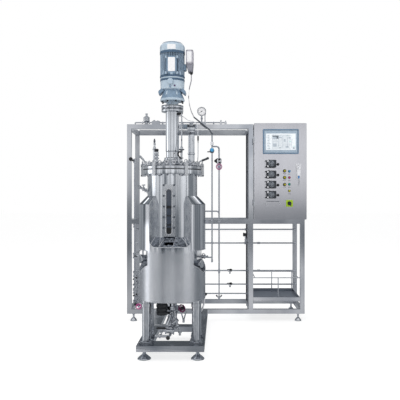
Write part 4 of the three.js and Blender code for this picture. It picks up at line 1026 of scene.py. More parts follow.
# %% Weld on the side nozzles
NOZZLES = ((-66, 683), (64, 650))
CAP = [(0, 0), (19, 0), (19, 50), (25, 58), (29, 59), (31, 62), (31, 71), (29, 74), (22, 75), (0, 75)]
for degrees, height in NOZZLES:
    work = bmesh.new()
    start = about_axis(163, degrees, height)
    aim = (about_axis(238, degrees, height) - start).normalized()
    lathe(work, CAP, start, aim, 40)
    lathe(work, [(0, -4), (22, -3), (21, 1), (19, 3), (0, 3)], about_axis(SHELL_R, degrees, height), aim, 40)
    hinge, arm = start + aim * 66, aim.cross(UP) * 34
    bar(work, hinge + arm - UP * 9, hinge + arm + UP * 9, 4.5)
    bar(work, hinge - arm - UP * 11, hinge - arm + UP * 13, 5)
    piece(f"side_nozzle_{abs(degrees)}", work, BUFFED)
start = about_axis(163, -78, 1146)
aim = (about_axis(240, -78, 1184) - start).normalized()
neck = [(0, 0), (9, 0), (9, 22), (15, 24), (15, 30), (10, 32), (10, 40), (15, 42), (15, 48), (8, 50), (8, 66),
        (12, 68), (12, 78), (0, 78)]
work = bmesh.new()
lathe(work, soften(neck, 0.8), start, aim, 32)
lathe(work, [(0, 8), (16, 8), (15, 14), (12, 17), (0, 17)], start, aim, 32)
spot = start + aim * 45
bar(work, spot - UP * 6, spot + UP * 30, 5, 16)
bar(work, spot + Vector((-12, 0, 28)), spot + Vector((12, 0, 30)), 4, 16)
hoop(work, start + aim * 80, (0, 1, 0), 11, 3)
piece("upper_nozzle", work, BUFFED)
print("nozzles", len(NOZZLES) + 1)
# %% [markdown]
# ## Cladding
# Bright rolled sheet covers the insulation round the jacket. It has a conical shoulder, a tall window in
# front whose sill slopes to the sight glass, and a pocket on each side where the nozzles come out. The sheet
# is a smooth lathe of 160 steps, because a mirror shows every facet, and the openings are exact cuts: each
# cutter is a turned ramp limited by a wedge. The reveals inside are folded by hand, so they get a wavier
# finish.
# %% Cut the cladding
SILL_Z, SLOPE = 864, 1.11
POCKET_TOP, POCKET_FLOOR = 745, 655
INNER_R = SHELL_R + 0.3
NECK_Z = CLAD_SHOULDER + CLAD_R - SHELL_R - 3
FAR = CLAD_R + 27
DROP = (FAR - BORE_R) * SLOPE
SHEET = [(60, clad_low), (CLAD_R - 2, clad_low), (CLAD_R, clad_low + 2), (CLAD_R, CLAD_SHOULDER - 2),
         (CLAD_R - 1.5, CLAD_SHOULDER + 1.5), (INNER_R + 3, NECK_Z), (INNER_R, NECK_Z),
         (INNER_R, clad_low + 6), (60, clad_low + 6), (60, clad_low)]
SILL = [(BORE_R, SILL_Z), (FAR, SILL_Z - DROP), (FAR, 1300), (BORE_R, 1300), (BORE_R, SILL_Z)]
POCKET = [(BORE_R, POCKET_TOP), (FAR, POCKET_TOP), (FAR, POCKET_FLOOR - DROP), (BORE_R, POCKET_FLOOR),
          (BORE_R, POCKET_TOP)]


def wedge(first, last):
    """A tall prism from the vessel axis out between two angles."""
    work = bmesh.new()
    spots = [(vx, vy)] + [tuple(about_axis(420, first + (last - first) * i / 4, 0).xy) for i in range(5)]
    plate(work, spots, 300, 1400, edge=0, axes="xy")
    return work


def window_pane(half=142, low=770, high=1320, corner=46, steps=10):
    """A slab in front of the vessel with the window's outline: round corners below and square ones on top."""
    outline = []
    for side, first in ((-1, 180), (1, 270)):
        centre = vx + side * (half - corner)
        for i in range(steps + 1):
            turn = math.radians(first + 90 * i / steps)
            outline.append((centre + corner * math.cos(turn), low + corner + corner * math.sin(turn)))
    work = bmesh.new()
    plate(work, outline + [(vx + half, high), (vx - half, high)], vy - 300, vy, edge=0)
    return work


def pocket_side():
    """The side view of a pocket: its floor dips below the nozzle and rises towards the back."""
    dips = [(-200, 10), (-80, -69), (-20, -61), (150, 26)]
    side = [(-200, POCKET_TOP)] + [(y, POCKET_FLOOR + z) for y, z in dips] + [(150, POCKET_TOP)]
    work = bmesh.new()
    plate(work, [(vy + y, z) for y, z in side], vx - 2 * CLAD_R, vx + 2 * CLAD_R, edge=0, axes="yz")
    return work


def turned_cutter(profile, *limits):
    """A turned ramp kept only inside every limiting solid."""
    work = bmesh.new()
    lathe(work, profile, AXIS, steps=128)
    return combined(work, limits, "INTERSECT")


def radius_of(point):
    """How far a point lies from the vessel's axis."""
    return math.hypot(point.x - vx, point.y - vy)


def on_skin(face):
    """True for faces of the outer sheet, and not of a reveal."""
    spot = face.calc_center_median()
    if spot.z < clad_low + 1 or spot.z > CLAD_SHOULDER + 0.5:
        return True
    return radius_of(spot) > CLAD_R - 1.5 and abs(face.normal.z) < 0.3


sheet = bmesh.new()
lathe(sheet, SHEET, AXIS, steps=160)
window = turned_cutter(SILL, wedge(-38, 38), window_pane())
pockets = [turned_cutter(POCKET, wedge(*reach), pocket_side()) for reach in ((-121, -42), (42, 121))]
sheet = combined(sheet, [window, *pockets])
rims = sharp_lines(sheet, lambda p: radius_of(p) > INNER_R + 1 and clad_low + 20 < p.z < NECK_Z - 2)
outside = [on_skin(face) for face in sheet.faces]
clad = piece("cladding_sheet", sheet, MIRROR, solid="cladding", angle=25)
clad.data.materials.append(FOLDED)
clad.data.materials.append(CRUMPLED)
for outer, face in zip(outside, clad.data.polygons):
    face.material_index = 0 if outer else 2 if face.normal.z > 0.3 else 1
seams("cladding_folds", rims, 2.0, HIGHLIGHT_STEEL, slot="mirror_steel")
# %% Crease the sill
work = bmesh.new()
for degrees, reach in ((-24, 7), (-11, -8), (12, -7), (25, 8), (33, -3)):
    inner, outer = about_axis(BORE_R + 22, degrees, SILL_Z), about_axis(CLAD_R - 4, degrees + reach, SILL_Z)
    inner, outer = (p - UP * (radius_of(p) - BORE_R) * SLOPE for p in (inner, outer))
    bar(work, inner, outer, 2.0, 8)
piece("sill_creases", work, HIGHLIGHT_STEEL, slot="mirror_steel")
# A dark beaten plate on the sill below the sight glass paints a dark reflection there.
work = bmesh.new()
dark_patch = [(vy - 176, 836), (vy - 222, 806), (vy - 222, 810), (vy - 206, 826), (vy - 176, 852)]
plate(work, dark_patch, SIGHT_X - 36, SIGHT_X + 36, 1.5, axes="yz")
piece("sill_painted_reflection", work, CRUMPLED)
print("cladding", len(outside), "faces,", len(rims), "rim edges")
# %% [markdown]
# ## Sight glass
# A long flat window lets the operator see the level. Its frame is a machined plate with a raised round-ended
# rim, screwed to the shell along both sides, and the dark glass sits a little below the rim.
# %% Make the sight glass
sight_face = sight_low.y + 5
glass_face = span("sight_glass")[0].y
work, opening, drum = bmesh.new(), bmesh.new(), bmesh.new()
panel(work, (SIGHT_X - 44, sight_low.z), (SIGHT_X + 44, sight_high.z), 9, sight_face, vy - 120, 1.6)
plate(opening, slot_outline(SIGHT_X, 17, 858, 1162, 24), sight_low.y - 20, vy - 100, edge=0)
lathe(drum, [(0, 600), (INNER_R, 600), (INNER_R, 1400), (0, 1400)], AXIS, steps=128)
piece("sight_plate", combined(work, [opening, drum]), BUFFED, solid="sight_frame")
work = bmesh.new()
ring = [(x, sight_face, z) for x, z in slot_outline(SIGHT_X, 21, 855, 1166, 24)]
tube(work, ring + ring[:1], 4.5, bend=0, steps=12)
piece("sight_rim", work, HIGHLIGHT_STEEL)
work = bmesh.new()
plate(work, slot_outline(SIGHT_X, 16.6, 859, 1161, 24), glass_face, vy - 172, 0.8)
piece("sight_pane", work, GLASS_DARK, solid="sight_glass")
work = bmesh.new()
for z, tall in ((1042, 9), (984, 4), (922, 5), (884, 20)):
    block(work, (SIGHT_X - 15, glass_face - 0.6, z - tall), (SIGHT_X + 15, glass_face + 0.4, z + tall), 0.5)
piece("sight_level_marks", work, RUBBER, slot="dark_glass")
spots = [((SIGHT_X + x, sight_face - 0.6, z), FRONT_WAY) for x in (-35, 35) for z in range(902, 1200, 72)]
screws("sight_plate_screws", spots, SHADED, across=10, height=4.5)
print("sight glass screws", len(spots))
# %% [markdown]
# ## Lid, gasket and clamps
# The lid is a dished plate on a black gasket. Its ports are small turned fittings of different heights, so
# lathe profiles describe them. A ring of eye nuts holds it down and six hinged clamps with tall straps grip
# both flanges. The nuts are one shape, repeated by the ring tree.
# %% Turn the lid
FACE = lid_face
LID = [(13, FACE + 6), (13, lid_top), (60, lid_top), (62, lid_top - 2), (62, lid_top - 12), (84, FACE + 33),
       (110, FACE + 26), (138, FACE + 18), (160, FACE + 12), (182, FACE), (FLANGE_R, FACE),
       (FLANGE_R, gasket_high), (BORE_R, gasket_high), (140, gasket_high + 8), (100, gasket_high + 18),
       (50, gasket_high + 26), (13, FACE + 6)]
SEAL = [(BORE_R, gasket_low), (FLANGE_R - 4, gasket_low), (FLANGE_R - 3, gasket_low + 1),
        (FLANGE_R - 3, gasket_high - 1), (FLANGE_R - 4, gasket_high), (BORE_R, gasket_high),
        (BORE_R, gasket_low)]
turned("lid_plate", LID, BUFFED, bend=2, steps=128, solid="lid", angle=30)
turned("lid_gasket_ring", SEAL, RUBBER, steps=128, solid="lid_gasket")
# %% Fit the eye nuts round the lid
EYE_RING = 190
EYE_COUNT = 24
work = bmesh.new()
hoop(work, (EYE_RING, 0, 20), (1, 0, 0), 11, 4.2, steps=20)
lathe(work, [(0, 0), (9, 0), (9, 5), (6, 8), (5, 12), (0, 12)], (EYE_RING, 0, 0), steps=12)
ringed("lid_eye_nuts", work, EYE_COUNT, (vx, vy, FACE + 3), HIGHLIGHT_STEEL, start=7.5)
# Washers under the eye nuts, in dark steel, paint the shade in the gaps round the crown.
work = bmesh.new()
lathe(work, [(0, 0), (15, 0), (15, 6), (13, 8), (0, 8)], (EYE_RING, 0, 0), steps=20)
ringed("lid_eye_washers_painted_shade", work, EYE_COUNT, (vx, vy, FACE - 2), SHADED, start=7.5)
work = bmesh.new()
lathe(work, [(0, 0), (8, 0), (8, 20), (5, 26), (0, 27)], (150, 0, 0), steps=20)
ringed("lid_port_plugs", work, 16, (vx, vy, FACE + 8), POLISHED, start=4)
work = bmesh.new()
lathe(work, [(0, 0), (9, 0), (9, 6), (7.5, 8), (4.5, 8), (4.5, 12), (0, 12)], (198, 0, 0), (0, 0, -1), 6)
ringed("flange_bolt_ends", work, EYE_COUNT, (vx, vy, flange_low + 1), BUFFED, start=7.5)
print("eye nuts", EYE_COUNT)
# %% Hang the six clamps
CLAMP_IN = FLANGE_R + 1
CLAMP_OUT = FLANGE_R + 14


def clamp(i):
    """A strap outside both flanges, with a jaw below, a shoe on the lid and an eye on top."""
    work = bmesh.new()
    low = flange_low - 13
    block(work, (-12, -CLAMP_OUT, low), (12, -CLAMP_IN, FACE + 22), 2.5, 3)
    block(work, (-12, -CLAMP_OUT + 1, low), (12, -FLANGE_R + 15, flange_low - 0.2), 2)
    block(work, (-12, -CLAMP_OUT + 1, FACE + 0.2), (12, -FLANGE_R + 15, FACE + 14), 2)
    bar(work, (0, -FLANGE_R + 4, FACE + 12), (0, -FLANGE_R + 4, FACE + 24), 8, 6, 0.4)
    hoop(work, (0, -FLANGE_R - 2, FACE + 30), (0, 1, 0), 10.5, 3.5, 12, deep=4.5)
    bar(work, (-15, -FLANGE_R - 7, FACE + 12), (15, -FLANGE_R - 7, FACE + 12), 4, 12)
    bmesh.ops.transform(work, matrix=Matrix.Rotation(math.radians(30 + 60 * i), 4, "Z"), verts=work.verts)
    return piece(f"lid_clamp_{i + 1}_strap", work, HIGHLIGHT_STEEL, at=AXIS, solid=f"lid_clamp_{i + 1}")


for i in range(6):
    clamp(i)
# %% [markdown]
# The ports differ in height and head. Each is one lathe on the lid's face, given as (radius, height) pairs.
# The levers, the hook and the gas line are swept tubes with turned ends.
# %% Turn the ports of the lid
TALL = (vx - 127, vy, 0)
CAPPED = (vx - 106, vy - 66, 0)
GAS = (vx + 68, vy - 60, 0)
HOOK = (vx + 46, vy - 96, 0)


def ferrule(radius, height, clamp_r):
    """The rings of a clamp joint round a tube at a height."""
    return [(radius, height - 6), (clamp_r - 3, height - 4), (clamp_r, height - 3), (clamp_r, height + 3),
            (clamp_r - 3, height + 4), (radius, height + 6)]


probe = [(0, FACE - 4), (17, FACE - 4), (17, FACE + 8), (10.5, FACE + 12), *ferrule(10.5, FACE + 44, 17),
         *ferrule(10.5, 1448, 15), (10.5, 1460), (8, 1464), (7, 1466), (7, 1480), (9, 1482), (9, 1487),
         (7, 1489), (7, 1494), (0, 1494)]
head = [(0, 1494), (6, 1494), (6, 1503), (8, 1505), (8, 1510), (5, 1512), (5, 1521), (3, 1523), (0, 1523)]
turned("level_probe", probe, BUFFED, TALL, 0.8, 32)
turned("level_probe_head", head, SHADED, TALL, 0.8, 28)
port = [(0, FACE - 4), (16, FACE - 4), (16, FACE + 8), (12, FACE + 10), (12, 1372), *ferrule(12, 1380, 18),
        *ferrule(12, 1402, 18), (15, 1412), (15, 1424), (11, 1428), (0, 1428)]
turned("capped_port", port, BUFFED, CAPPED, 0.8, 32)
turned("port_cap", [(0, 1428), (13, 1428), (15, 1431), (15, 1442), (12, 1446), (0, 1446)], BLACK, CAPPED, 1.5,
       24)
inlet = [(0, FACE - 4), (11, FACE - 4), (11, FACE + 10), (8, FACE + 14), *ferrule(7, FACE + 60, 13),
         (9, 1440), (11, 1444), (11, 1458), (7, 1462), (0, 1462)]
work = bmesh.new()
lathe(work, soften(inlet, 0.8), steps=28)
tube(work, [(0, 0, 1440), (0, 0, 1460), (0, 20, 1500), (0, 20, 1700)], 5, 20, 14)
piece("gas_inlet", work, BUFFED, at=GAS)
# %% Wing, hook and levers
work = bmesh.new()
block(work, (-19, -12, 1436), (21, -2, 1446), 3)
bar(work, (0, -8, 1424), (0, -8, 1440), 6)
piece("gas_inlet_wing", work, DARK, at=GAS)
work = bmesh.new()
tube(work, [(24, 0, 1422), (4, 0, 1424), (0, 0, 1404), (6, 0, 1390), (25, 0, 1376)], 5.5, 12, 16)
piece("sampling_hook", work, RIBBED, at=HOOK)
work = bmesh.new()
bar(work, (4, 0, FACE - 2), (4, 0, 1394), 4.5, 16)
lathe(work, [(0, 0), (10, 0), (10, 8), (6, 12), (0, 12)], (4, 0, FACE - 2), steps=20)
piece("sampling_stem", work, BUFFED, at=HOOK)


def lid_lever(name, side, reach, rise, finish):
    """A bent lever with a turned grip."""
    root = Vector((side * (FLANGE_R - 22), -40, FACE - 4))
    knee = root + UP * 38
    end = Vector((side * (FLANGE_R + reach - 14), -40, FACE + rise))
    work = bmesh.new()
    tube(work, [root, knee, end], 5.5, 16, 14)
    lathe(work, [(0, 0), (11, 0), (11, 7), (7, 12), (0, 12)], root - UP, steps=20)
    piece(f"{name}_arm", work, BUFFED, at=AXIS)
    work = bmesh.new()
    bar(work, end.lerp(knee, 0.62), end, 7.5, 20, 2)
    knob = [(0, 0), (6, 0), (8, 3), (9, 8), (9, 13), (7, 17), (3, 19), (0, 19)]
    lathe(work, knob, end - Vector((side * 4, 0, 0)), Vector((side * 18, 0, 6)).normalized(), 20)
    piece(f"{name}_grip", work, finish, at=AXIS, slot="dark_plastic")


lid_lever("right_lever", 1, 50, 56, PUMP)
lid_lever("left_lever", -1, 24, 68, BUFFED)
print("lid ports 4, levers 2")
# %% [markdown]
# ## Lantern, gear unit and motor
# The shaft runs up through a steel lantern into a cast gear unit. Lathe profiles give the lantern its double
# flange. The gear unit flares over a bell flange, narrows to a waist and widens again under the motor; six
# webs and two mounting ears stiffen the casting. The waist is coloured a darker blue, which paints the shade
# in its hollow.
# %% Turn the lantern
NECK = [(30, lid_top), (58, lid_top), (58, lid_top + 12), (44, lid_top + 15), (44, 1430), (LANTERN_R, 1434)]
FLANGES = [(LANTERN_R, -46), (50, -43), (77.5, -43), (77.5, -25), (64, -24), (64, -19), (77.5, -18),
           (77.5, 0), (30, 0)]
LANTERN = NECK + [(r, lantern_top + z) for r, z in FLANGES] + [(30, lid_top)]
turned("lantern_tube", LANTERN, POLISHED, bend=1.6, solid="lantern", angle=30)
work = bmesh.new()
bar(work, (69, 0, -14), (69, 0, 14), 5.5, 6, 0.4)
ringed("lantern_flange_bolts", work, 8, (vx, vy, lantern_top - 21.5), BLASTED, start=22.5)
work = bmesh.new()
lathe(work, [(0, 0), (6, 0), (6, 4), (4, 7), (0, 7)], (50, 0, 0), steps=6)
ringed("lantern_foot_nuts", work, 8, (vx, vy, lid_top + 11), BLASTED)
work = bmesh.new()
block(work, (38, -34, -66), (62, -22, -50), 3)
bar(work, (55, -28, -58), (76, -28, -56), 5)
piece("lantern_drain", work, RIBBED, at=(vx, vy, lantern_top))
# %% Cast the gear unit
LOW = (vx, vy, lantern_top)
GEAR_TALL = gear_top - lantern_top
GEAR = [(13, 0), (42, 0), (42, 28), (46, 30), (84, 31), (86, 34), (86, 43), (80, 54), (70, 76), (64, 94),
        (63, 104), (66, 109), (80, 112), (83, 116), (85, 165), (85, GEAR_TALL - 2), (83, GEAR_TALL),
        (0, GEAR_TALL), (0, 45), (13, 45), (13, 0)]
WAIST = [(60, 109.5), (66.5, 109), (64.5, 104), (65.5, 94), (71.5, 76), (81, 55), (84, 47), (60, 47),
         (60, 109.5)]
EAR = [(56, 102), (62, 118), (70, 124), (95, 99), (97, 92), (93, 76), (86, 79)]
turned("gear_casting", GEAR, GEAR_BLUE, LOW, 2, solid="gear_unit", angle=30)
turned("gear_waist", WAIST, SHADED_BLUE, LOW, 1, angle=30)
for name, side in (("left", -1), ("right", 1)):
    work = bmesh.new()
    plate(work, [(side * x, z) for x, z in EAR][::side], -40, 40, 2.5, 3)
    piece(f"gear_ear_{name}", work, SHADED_BLUE, at=LOW)
work = bmesh.new()
plate(work, [(60, 36), (83, 36), (84, 46), (76, 64), (67, 92), (60, 112)], -5, 5, 2)
ringed("gear_webs", work, 6, LOW, GEAR_BLUE)
work = bmesh.new()
bar(work, (76, 0, 20), (76, 0, 50), 6, 6, 0.5)
ringed("bell_flange_bolts", work, 8, LOW, RIBBED, start=22.5, slot="drive_paint")
# %% Plugs and caps on the gear unit
COVER = [(0, 0), (23, 0), (23, 6), (19, 7), (19, 12), (16, 15), (0, 15)]
OIL_PLUG = [(0, 0), (8, 0), (8, 5), (6, 9), (0, 9)]
VENT_PLUG = [(0, 0), (6, 0), (6, 4), (4, 7), (0, 7)]
turned("gear_cover", COVER, GEAR_BLUE, (vx - 8, vy - 82, LOW[2] + 157), 1.2, 40, FRONT_WAY)
turned("gear_oil_plug", OIL_PLUG, SHADED_BLUE, (vx - 10, vy - 83, LOW[2] + 124), 0.8, 6, FRONT_WAY)
turned("gear_vent_plug", VENT_PLUG, VIOLET, (vx + 22, vy - 82, LOW[2] + 129), 0.8, 20, FRONT_WAY)
# A dark blue ring at the joint of the gear unit and motor paints the shadow line there.
SEAL = [(80, -25), (86.4, -25), (86.4, -11), (80, -11), (80, -25)]
turned("motor_joint_painted_shadow", SEAL, SHADOW_BLUE, (vx, vy, gear_top), steps=80)
print("gear unit from", round(lantern_top), "to", round(gear_top))
# %% [markdown]
# ## Motor
# A finned aluminium motor cools itself: a fan under the cowl on top blows air down between upright fins. The
# barrel is a lathe, and the fins are one thin plate repeated round it. A flat pad in front carries the bare
# rating plate, the terminal box hangs on the right.
# %% Build the motor
FIN_LOW = gear_top + 16
FIN_HIGH = motor_top - 62
BARREL_R = 74
FIN_COUNT = 44
TOP = (vx, vy, motor_top)
BARREL = [(0, gear_top), (86, gear_top), (88, gear_top + 2), (88, gear_top + 12), (80, gear_top + 17),
          (BARREL_R, gear_top + 19), (BARREL_R, motor_top - 66), (0, motor_top - 66)]
# The barrel is coloured dark blue, which paints the shade between the fins.
turned("motor_barrel", BARREL, SHADOW_BLUE, bend=2, steps=88, solid="motor", angle=30)
work = bmesh.new()
block(work, (BARREL_R - 3, -1.5, FIN_LOW), (86, 1.5, FIN_HIGH), 0.8, 2)
ringed("motor_fins", work, FIN_COUNT, AXIS, MOTOR_BLUE, start=90)
work = bmesh.new()
block(work, (66, -9, gear_top + 10), (88, 9, gear_top + 32), 4, 3)
bar(work, (80, 0, gear_top + 26), (80, 0, gear_top + 40), 5, 6, 0.4)
ringed("motor_foot_lugs", work, 4, AXIS, MOTOR_BLUE, start=45)
work = bmesh.new()
block(work, (-12, -91, FIN_LOW - 8), (12, -70, FIN_LOW + 14), 4, 3)
piece("motor_front_lug", work, MOTOR_BLUE, at=AXIS)
# %% Fan cowl
COWL = [(84, -66), (88, -66), (88, -32), (86, -22), (81, -13), (72, -7), (56, -3), (40, -1), (0, -1), (0, -6),
        (60, -8), (80, -20), (84, -34), (84, -66)]
# A dark blue ring under the cowl's lower edge paints its shadow.
COWL_SHADOW_RING = [(76, -78), (88.6, -78), (88.6, -62), (76, -62), (76, -78)]
turned("fan_cowl", COWL, GEAR_BLUE, TOP, slot="motor_paint", angle=30)
turned("cowl_shadow_gap", COWL_SHADOW_RING, SHADOW_BLUE, TOP)
work = bmesh.new()
for r in range(12, 70, 7):
    lathe(work, [(r, -1.6), (r + 2.4, -1.6), (r + 1.8, 0), (r + 0.6, 0), (r, -1.6)], steps=64)
piece("cowl_grille_rings", work, SHADED_BLUE, at=TOP, slot="motor_paint")
# %% Stick the label on the cowl
work = bmesh.new()
section = [(88, motor_top - 58), (88.8, motor_top - 58), (88.8, motor_top - 24), (88, motor_top - 24)]
rows = [[work.verts.new(about_axis(r, 19 * i / 6 - 19, z)) for r, z in section] for i in range(13)]
skin(work, rows)
work.faces.new(rows[0])
work.faces.new(rows[-1][::-1])
piece("cowl_label", work, LABEL)
# %% Rating plate on its pad
work = bmesh.new()
block(work, (-36, -90, 1964), (37, -70, 2090), 3, 3)
piece("rating_pad", work, SHADED_BLUE, at=AXIS, slot="motor_paint")
work = bmesh.new()
for x in (-38, 39):
    for z in (1971, 2080):
        block(work, (x - 7, -96, z - 9), (x + 7, -80, z + 9), 3, 3)
piece("rating_pad_lugs", work, MOTOR_BLUE, at=AXIS)
work = bmesh.new()
panel(work, (-24, 1982), (25, 2079), 3, -92.2, -89, 0.6)
piece("rating_plate", work, LABEL, at=AXIS)
spots = [((vx + x, vy - 91.6, z), FRONT_WAY) for x in (-31, 32) for z in (1974, 2083)]
screws("rating_pad_screws", spots, BLASTED, across=7, height=4, slot="motor_paint")
# %% Terminal box
box_low, box_high = span("terminal_box")
side_y = (box_low.y + box_high.y) / 2
work = bmesh.new()
block(work, (box_low.x - 36, side_y - 28, 2002), (box_low.x + 3, side_y + 28, 2046), 4, 3)
piece("terminal_neck", work, SHADED_BLUE, slot="motor_paint")
work = bmesh.new()
block(work, (box_low.x, box_low.y, 2041), (box_high.x, box_high.y, 2144), 5, 4)
piece("terminal_box_body", work, BOX_GREY, solid="terminal_box")
work = bmesh.new()
TAPER = [(box_low.x + 16, 1991), (box_high.x - 5, 1991), (box_high.x - 1, 2042), (box_low.x + 1, 2042)]
plate(work, TAPER, box_low.y + 1, box_high.y - 1, 4, 3)
piece("terminal_box_skirt", work, BOX_DARK)
work = bmesh.new()
panel(work, (box_low.x + 9, 2058), (box_high.x - 12, 2130), 3, box_low.y - 1.2, box_low.y + 2, 0.5)
piece("terminal_label", work, LABEL)
GLAND = [(0, 1976), (6, 1976), (9, 1980), (9, 1985), (11, 1986), (11, 1993), (0, 1993)]
turned("cable_gland", GLAND, BLACK, (box_low.x + 37, side_y, 0), 0.6, 24)
spots = [((x, box_low.y - 0.2, z), FRONT_WAY) for x in (box_low.x + 7, box_high.x - 7) for z in (2049, 2137)]
screws("terminal_screws", spots, BLASTED, across=5, height=2.5, slot="box_paint")
print("motor", FIN_COUNT, "fins")
# %% [markdown]
# ## Agitator and condenser
# Inside the vessel a shaft carries two disc impellers with six upright blades each. The exhaust condenser is
# a jacketed tube beside the lantern, held by a bracket and closed by a two-wing clamp.
# %% Make the agitator
work = bmesh.new()
shaft_top = span("agitator")[1].z
lathe(work, soften([(0, 470), (10, 470), (12, 473), (12, shaft_top - 2), (10, shaft_top), (0, shaft_top)],
                   0.6), steps=32)
IMPELLERS = {"low": 540, "high": 760}
for z in IMPELLERS.values():
    hub = [(12, -16), (18, -16), (20, -14), (20, -3), (41, -2), (41, 2), (20, 3), (20, 14), (18, 16),
           (12, 16), (12, -16)]
    lathe(work, hub, (0, 0, z))
piece("agitator_shaft", work, POLISHED, at=AXIS, body="agitator", solid="agitator")
for level, z in IMPELLERS.items():
    work = bmesh.new()
    block(work, (30, -1.5, -13), (55, 1.5, 13), 0.5)
    ringed(f"impeller_blades_{level}", work, 6, (vx, vy, z), BUFFED, start=90, body="agitator")
# %% Make the condenser
con_x, con_y = vx + 131, vy + 60
CONDENSER = (con_x, con_y, 0)
low = lid_face + 32
TUBE_PROFILE = [(0, low - 34), (27, low - 34), (27, low - 4), (31, low - 3), (31, low + 9), (27, low + 11),
                (23, low + 15), (23, low + 60), (26, low + 62), (26, low + 72), (23, low + 74), (23, 1586),
                (28, 1591), (28, 1611), (20, 1615), (14, 1617), (14, 1640), (0, 1640)]
turned("condenser_tube", TUBE_PROFILE, POLISHED, CONDENSER, 1.5, 56, solid="condenser", angle=30)
work = bmesh.new()
block(work, (vx + LANTERN_R - 3 - con_x, -65, 1561), (0, -49, 1573), 2)
block(work, (-9, -65, 1561), (9, 0, 1573), 2)
lathe(work, [(23.2, 1558), (27, 1558), (27, 1576), (23.2, 1576), (23.2, 1558)], steps=40)
piece("condenser_bracket", work, BLASTED, at=CONDENSER)
work = bmesh.new()
WINGS = [(-34, 1633), (-26, 1634), (-12, 1627), (12, 1627), (26, 1634), (34, 1633), (30, 1625), (16, 1618),
         (-16, 1618), (-30, 1625)]
plate(work, WINGS[::-1], -6, 6, 2)
lathe(work, soften([(14, 1612), (31, 1612), (31, 1620), (14, 1620), (14, 1612)], 1.2), steps=40)
piece("condenser_clamp", work, DARK, at=CONDENSER)
work = bmesh.new()
nozzle = vx + LANTERN_R - 2 - con_x
bar(work, (nozzle, -80, 1684), (nozzle + 18, -80, 1684), 6)
tube(work, [(nozzle + 15, -80, 1684), (nozzle + 34, -80, 1676), (-20, -60, 1652), (22, -60, 1646),
            (46, -50, 1622), (50, -50, 1530)], 2.6, 30, 12)
piece("vent_hose", work, HOSE, at=CONDENSER)
work = bmesh.new()
bar(work, (50, -50, 1512), (50, -50, 1544), 5.5, 20)
bar(work, (50, -50, 1495), (50, -50, 1513), 3, 16)
piece("vent_connector", work, RIBBED, at=CONDENSER)
work = bmesh.new()
tube(work, [(50, -50, 1498), (50, -50, 1400), (42, -46, lid_face - 6)], 2.6, 20, 12)
piece("vent_drop", work, DRAWN, at=CONDENSER, slot="polished_steel")
print("condenser at", round(con_x), round(con_y))
# %% [markdown]
# ## Handwheels
# The three handwheels share one shape: a grip ring with finger lobes, a domed hub and three dished spokes.
# The ring is a swept circle whose radius rises and falls eight times round, which a plain lathe could not
# give.
# %% Shape a handwheel
def wheel_rim(work, place, radius, thick, lobes=8, steps=64, around=12):
    """A lobed ring about local Z."""
    rows = []
    for a in turns(steps):
        out = Vector((math.cos(a), math.sin(a), 0))
        reach = radius - thick * 0.55 + 0.9 * math.cos(lobes * a)
        section = [(reach + thick * 0.45 * math.cos(b), thick * 0.5 * math.sin(b)) for b in turns(around)]
        rows.append([work.verts.new(place @ (out * r + UP * z)) for r, z in section])
    skin(work, rows, True)


def handwheel(name, centre, axis, radius, thick, finish, hub_finish, hub=0.34, body="skid", solid=None):
    """Ring and spokes in one piece, hub cap in another, both riding on the wheel's body."""
    aim = Vector(axis).normalized()
    place = Matrix.Translation(Vector(centre)) @ UP.rotation_difference(aim).to_matrix().to_4x4()
    work = bmesh.new()
    wheel_rim(work, place, radius, thick)
    for a in turns(3):
        out = Vector((math.cos(a + 0.5), math.sin(a + 0.5), 0))
        way = [out * radius * 0.2, out * radius * 0.55 - UP * thick * 0.12, out * radius * 0.86]
        tube(work, [place @ p for p in way], thick * 0.26, 6, 10)
    boss = radius * hub
    core = [(0, -thick), (boss - 1, -thick), (boss, -thick + 1), (boss, thick * 0.5), (0, thick * 0.5)]
    lathe(work, soften(core, 0.6), centre, aim, 28)
    piece(name, work, finish, body=body, solid=solid)
    work = bmesh.new()
    cap = [(0, 0.4), (0.85, 0.4), (0.8, 0.65), (0.5, 0.78), (0, 0.8)]
    lathe(work, [(boss * r, thick * h) for r, h in cap], centre, aim, 28)
    piece(name + "_cap", work, hub_finish, body=body, slot=SLOT_OF[finish.name])


feed_y = face_y - TUBE
FEED_A = -34
FEED_B = 29
outlet_aim = Vector((83, -104, 55)).normalized()
outlet_root = Vector((vx, vy, 292))
handwheel("outlet_handwheel", outlet_root + outlet_aim * 125.3, outlet_aim, 30, 11, PLUM, BLACK, 0.5,
          body="outlet_wheel", solid="bottom_handwheel")
handwheel("feed_wheel_rim", (FEED_B, feed_y - 44.3, 1385), FRONT_WAY, 29, 10, PURPLE, SHADED_BLUE,
          body="feed_wheel", solid="feed_handwheel")
# %% [markdown]
# ## Under the vessel
# The outlet valve hangs from the bottom nozzle: a stack of clamped bodies with an angled spindle, a sampling
# pipe with a lever and a ball grip, and a ribbed black actuator beside it.
# %% Stack the outlet valve
NOZZLE = 330
COLUMN = [(0, 150), (12, 150), (14, 152), (14, 192), (20, 195), (26, 200), (26, 212), (23, 215), (23, 222),
          (26, 225), (26, 236), (21, 241), (21, 264), (28, 268), (34, 273), (34, 284), (31, 287), (31, 293),
          (34, 296), (34, 306), (22, 311), (22, 316), (44, 317), (48, 319), (48, NOZZLE - 0.4),
          (0, NOZZLE - 0.4)]
turned("outlet_valve_column", COLUMN, BUFFED, AXIS, 1.2, 56, solid="bottom_valve")
SPINDLE = [(0, 0), (10, 0), (10, 18), (15.5, 20), (15.5, 30), (13, 32), (13, 38), (15.5, 40), (15.5, 50),
           (11, 54), (7, 58), (7, 108), (9, 110), (9, 116), (0, 116)]
turned("outlet_spindle", SPINDLE, BUFFED, outlet_root, 1, 32, outlet_aim)
work = bmesh.new()
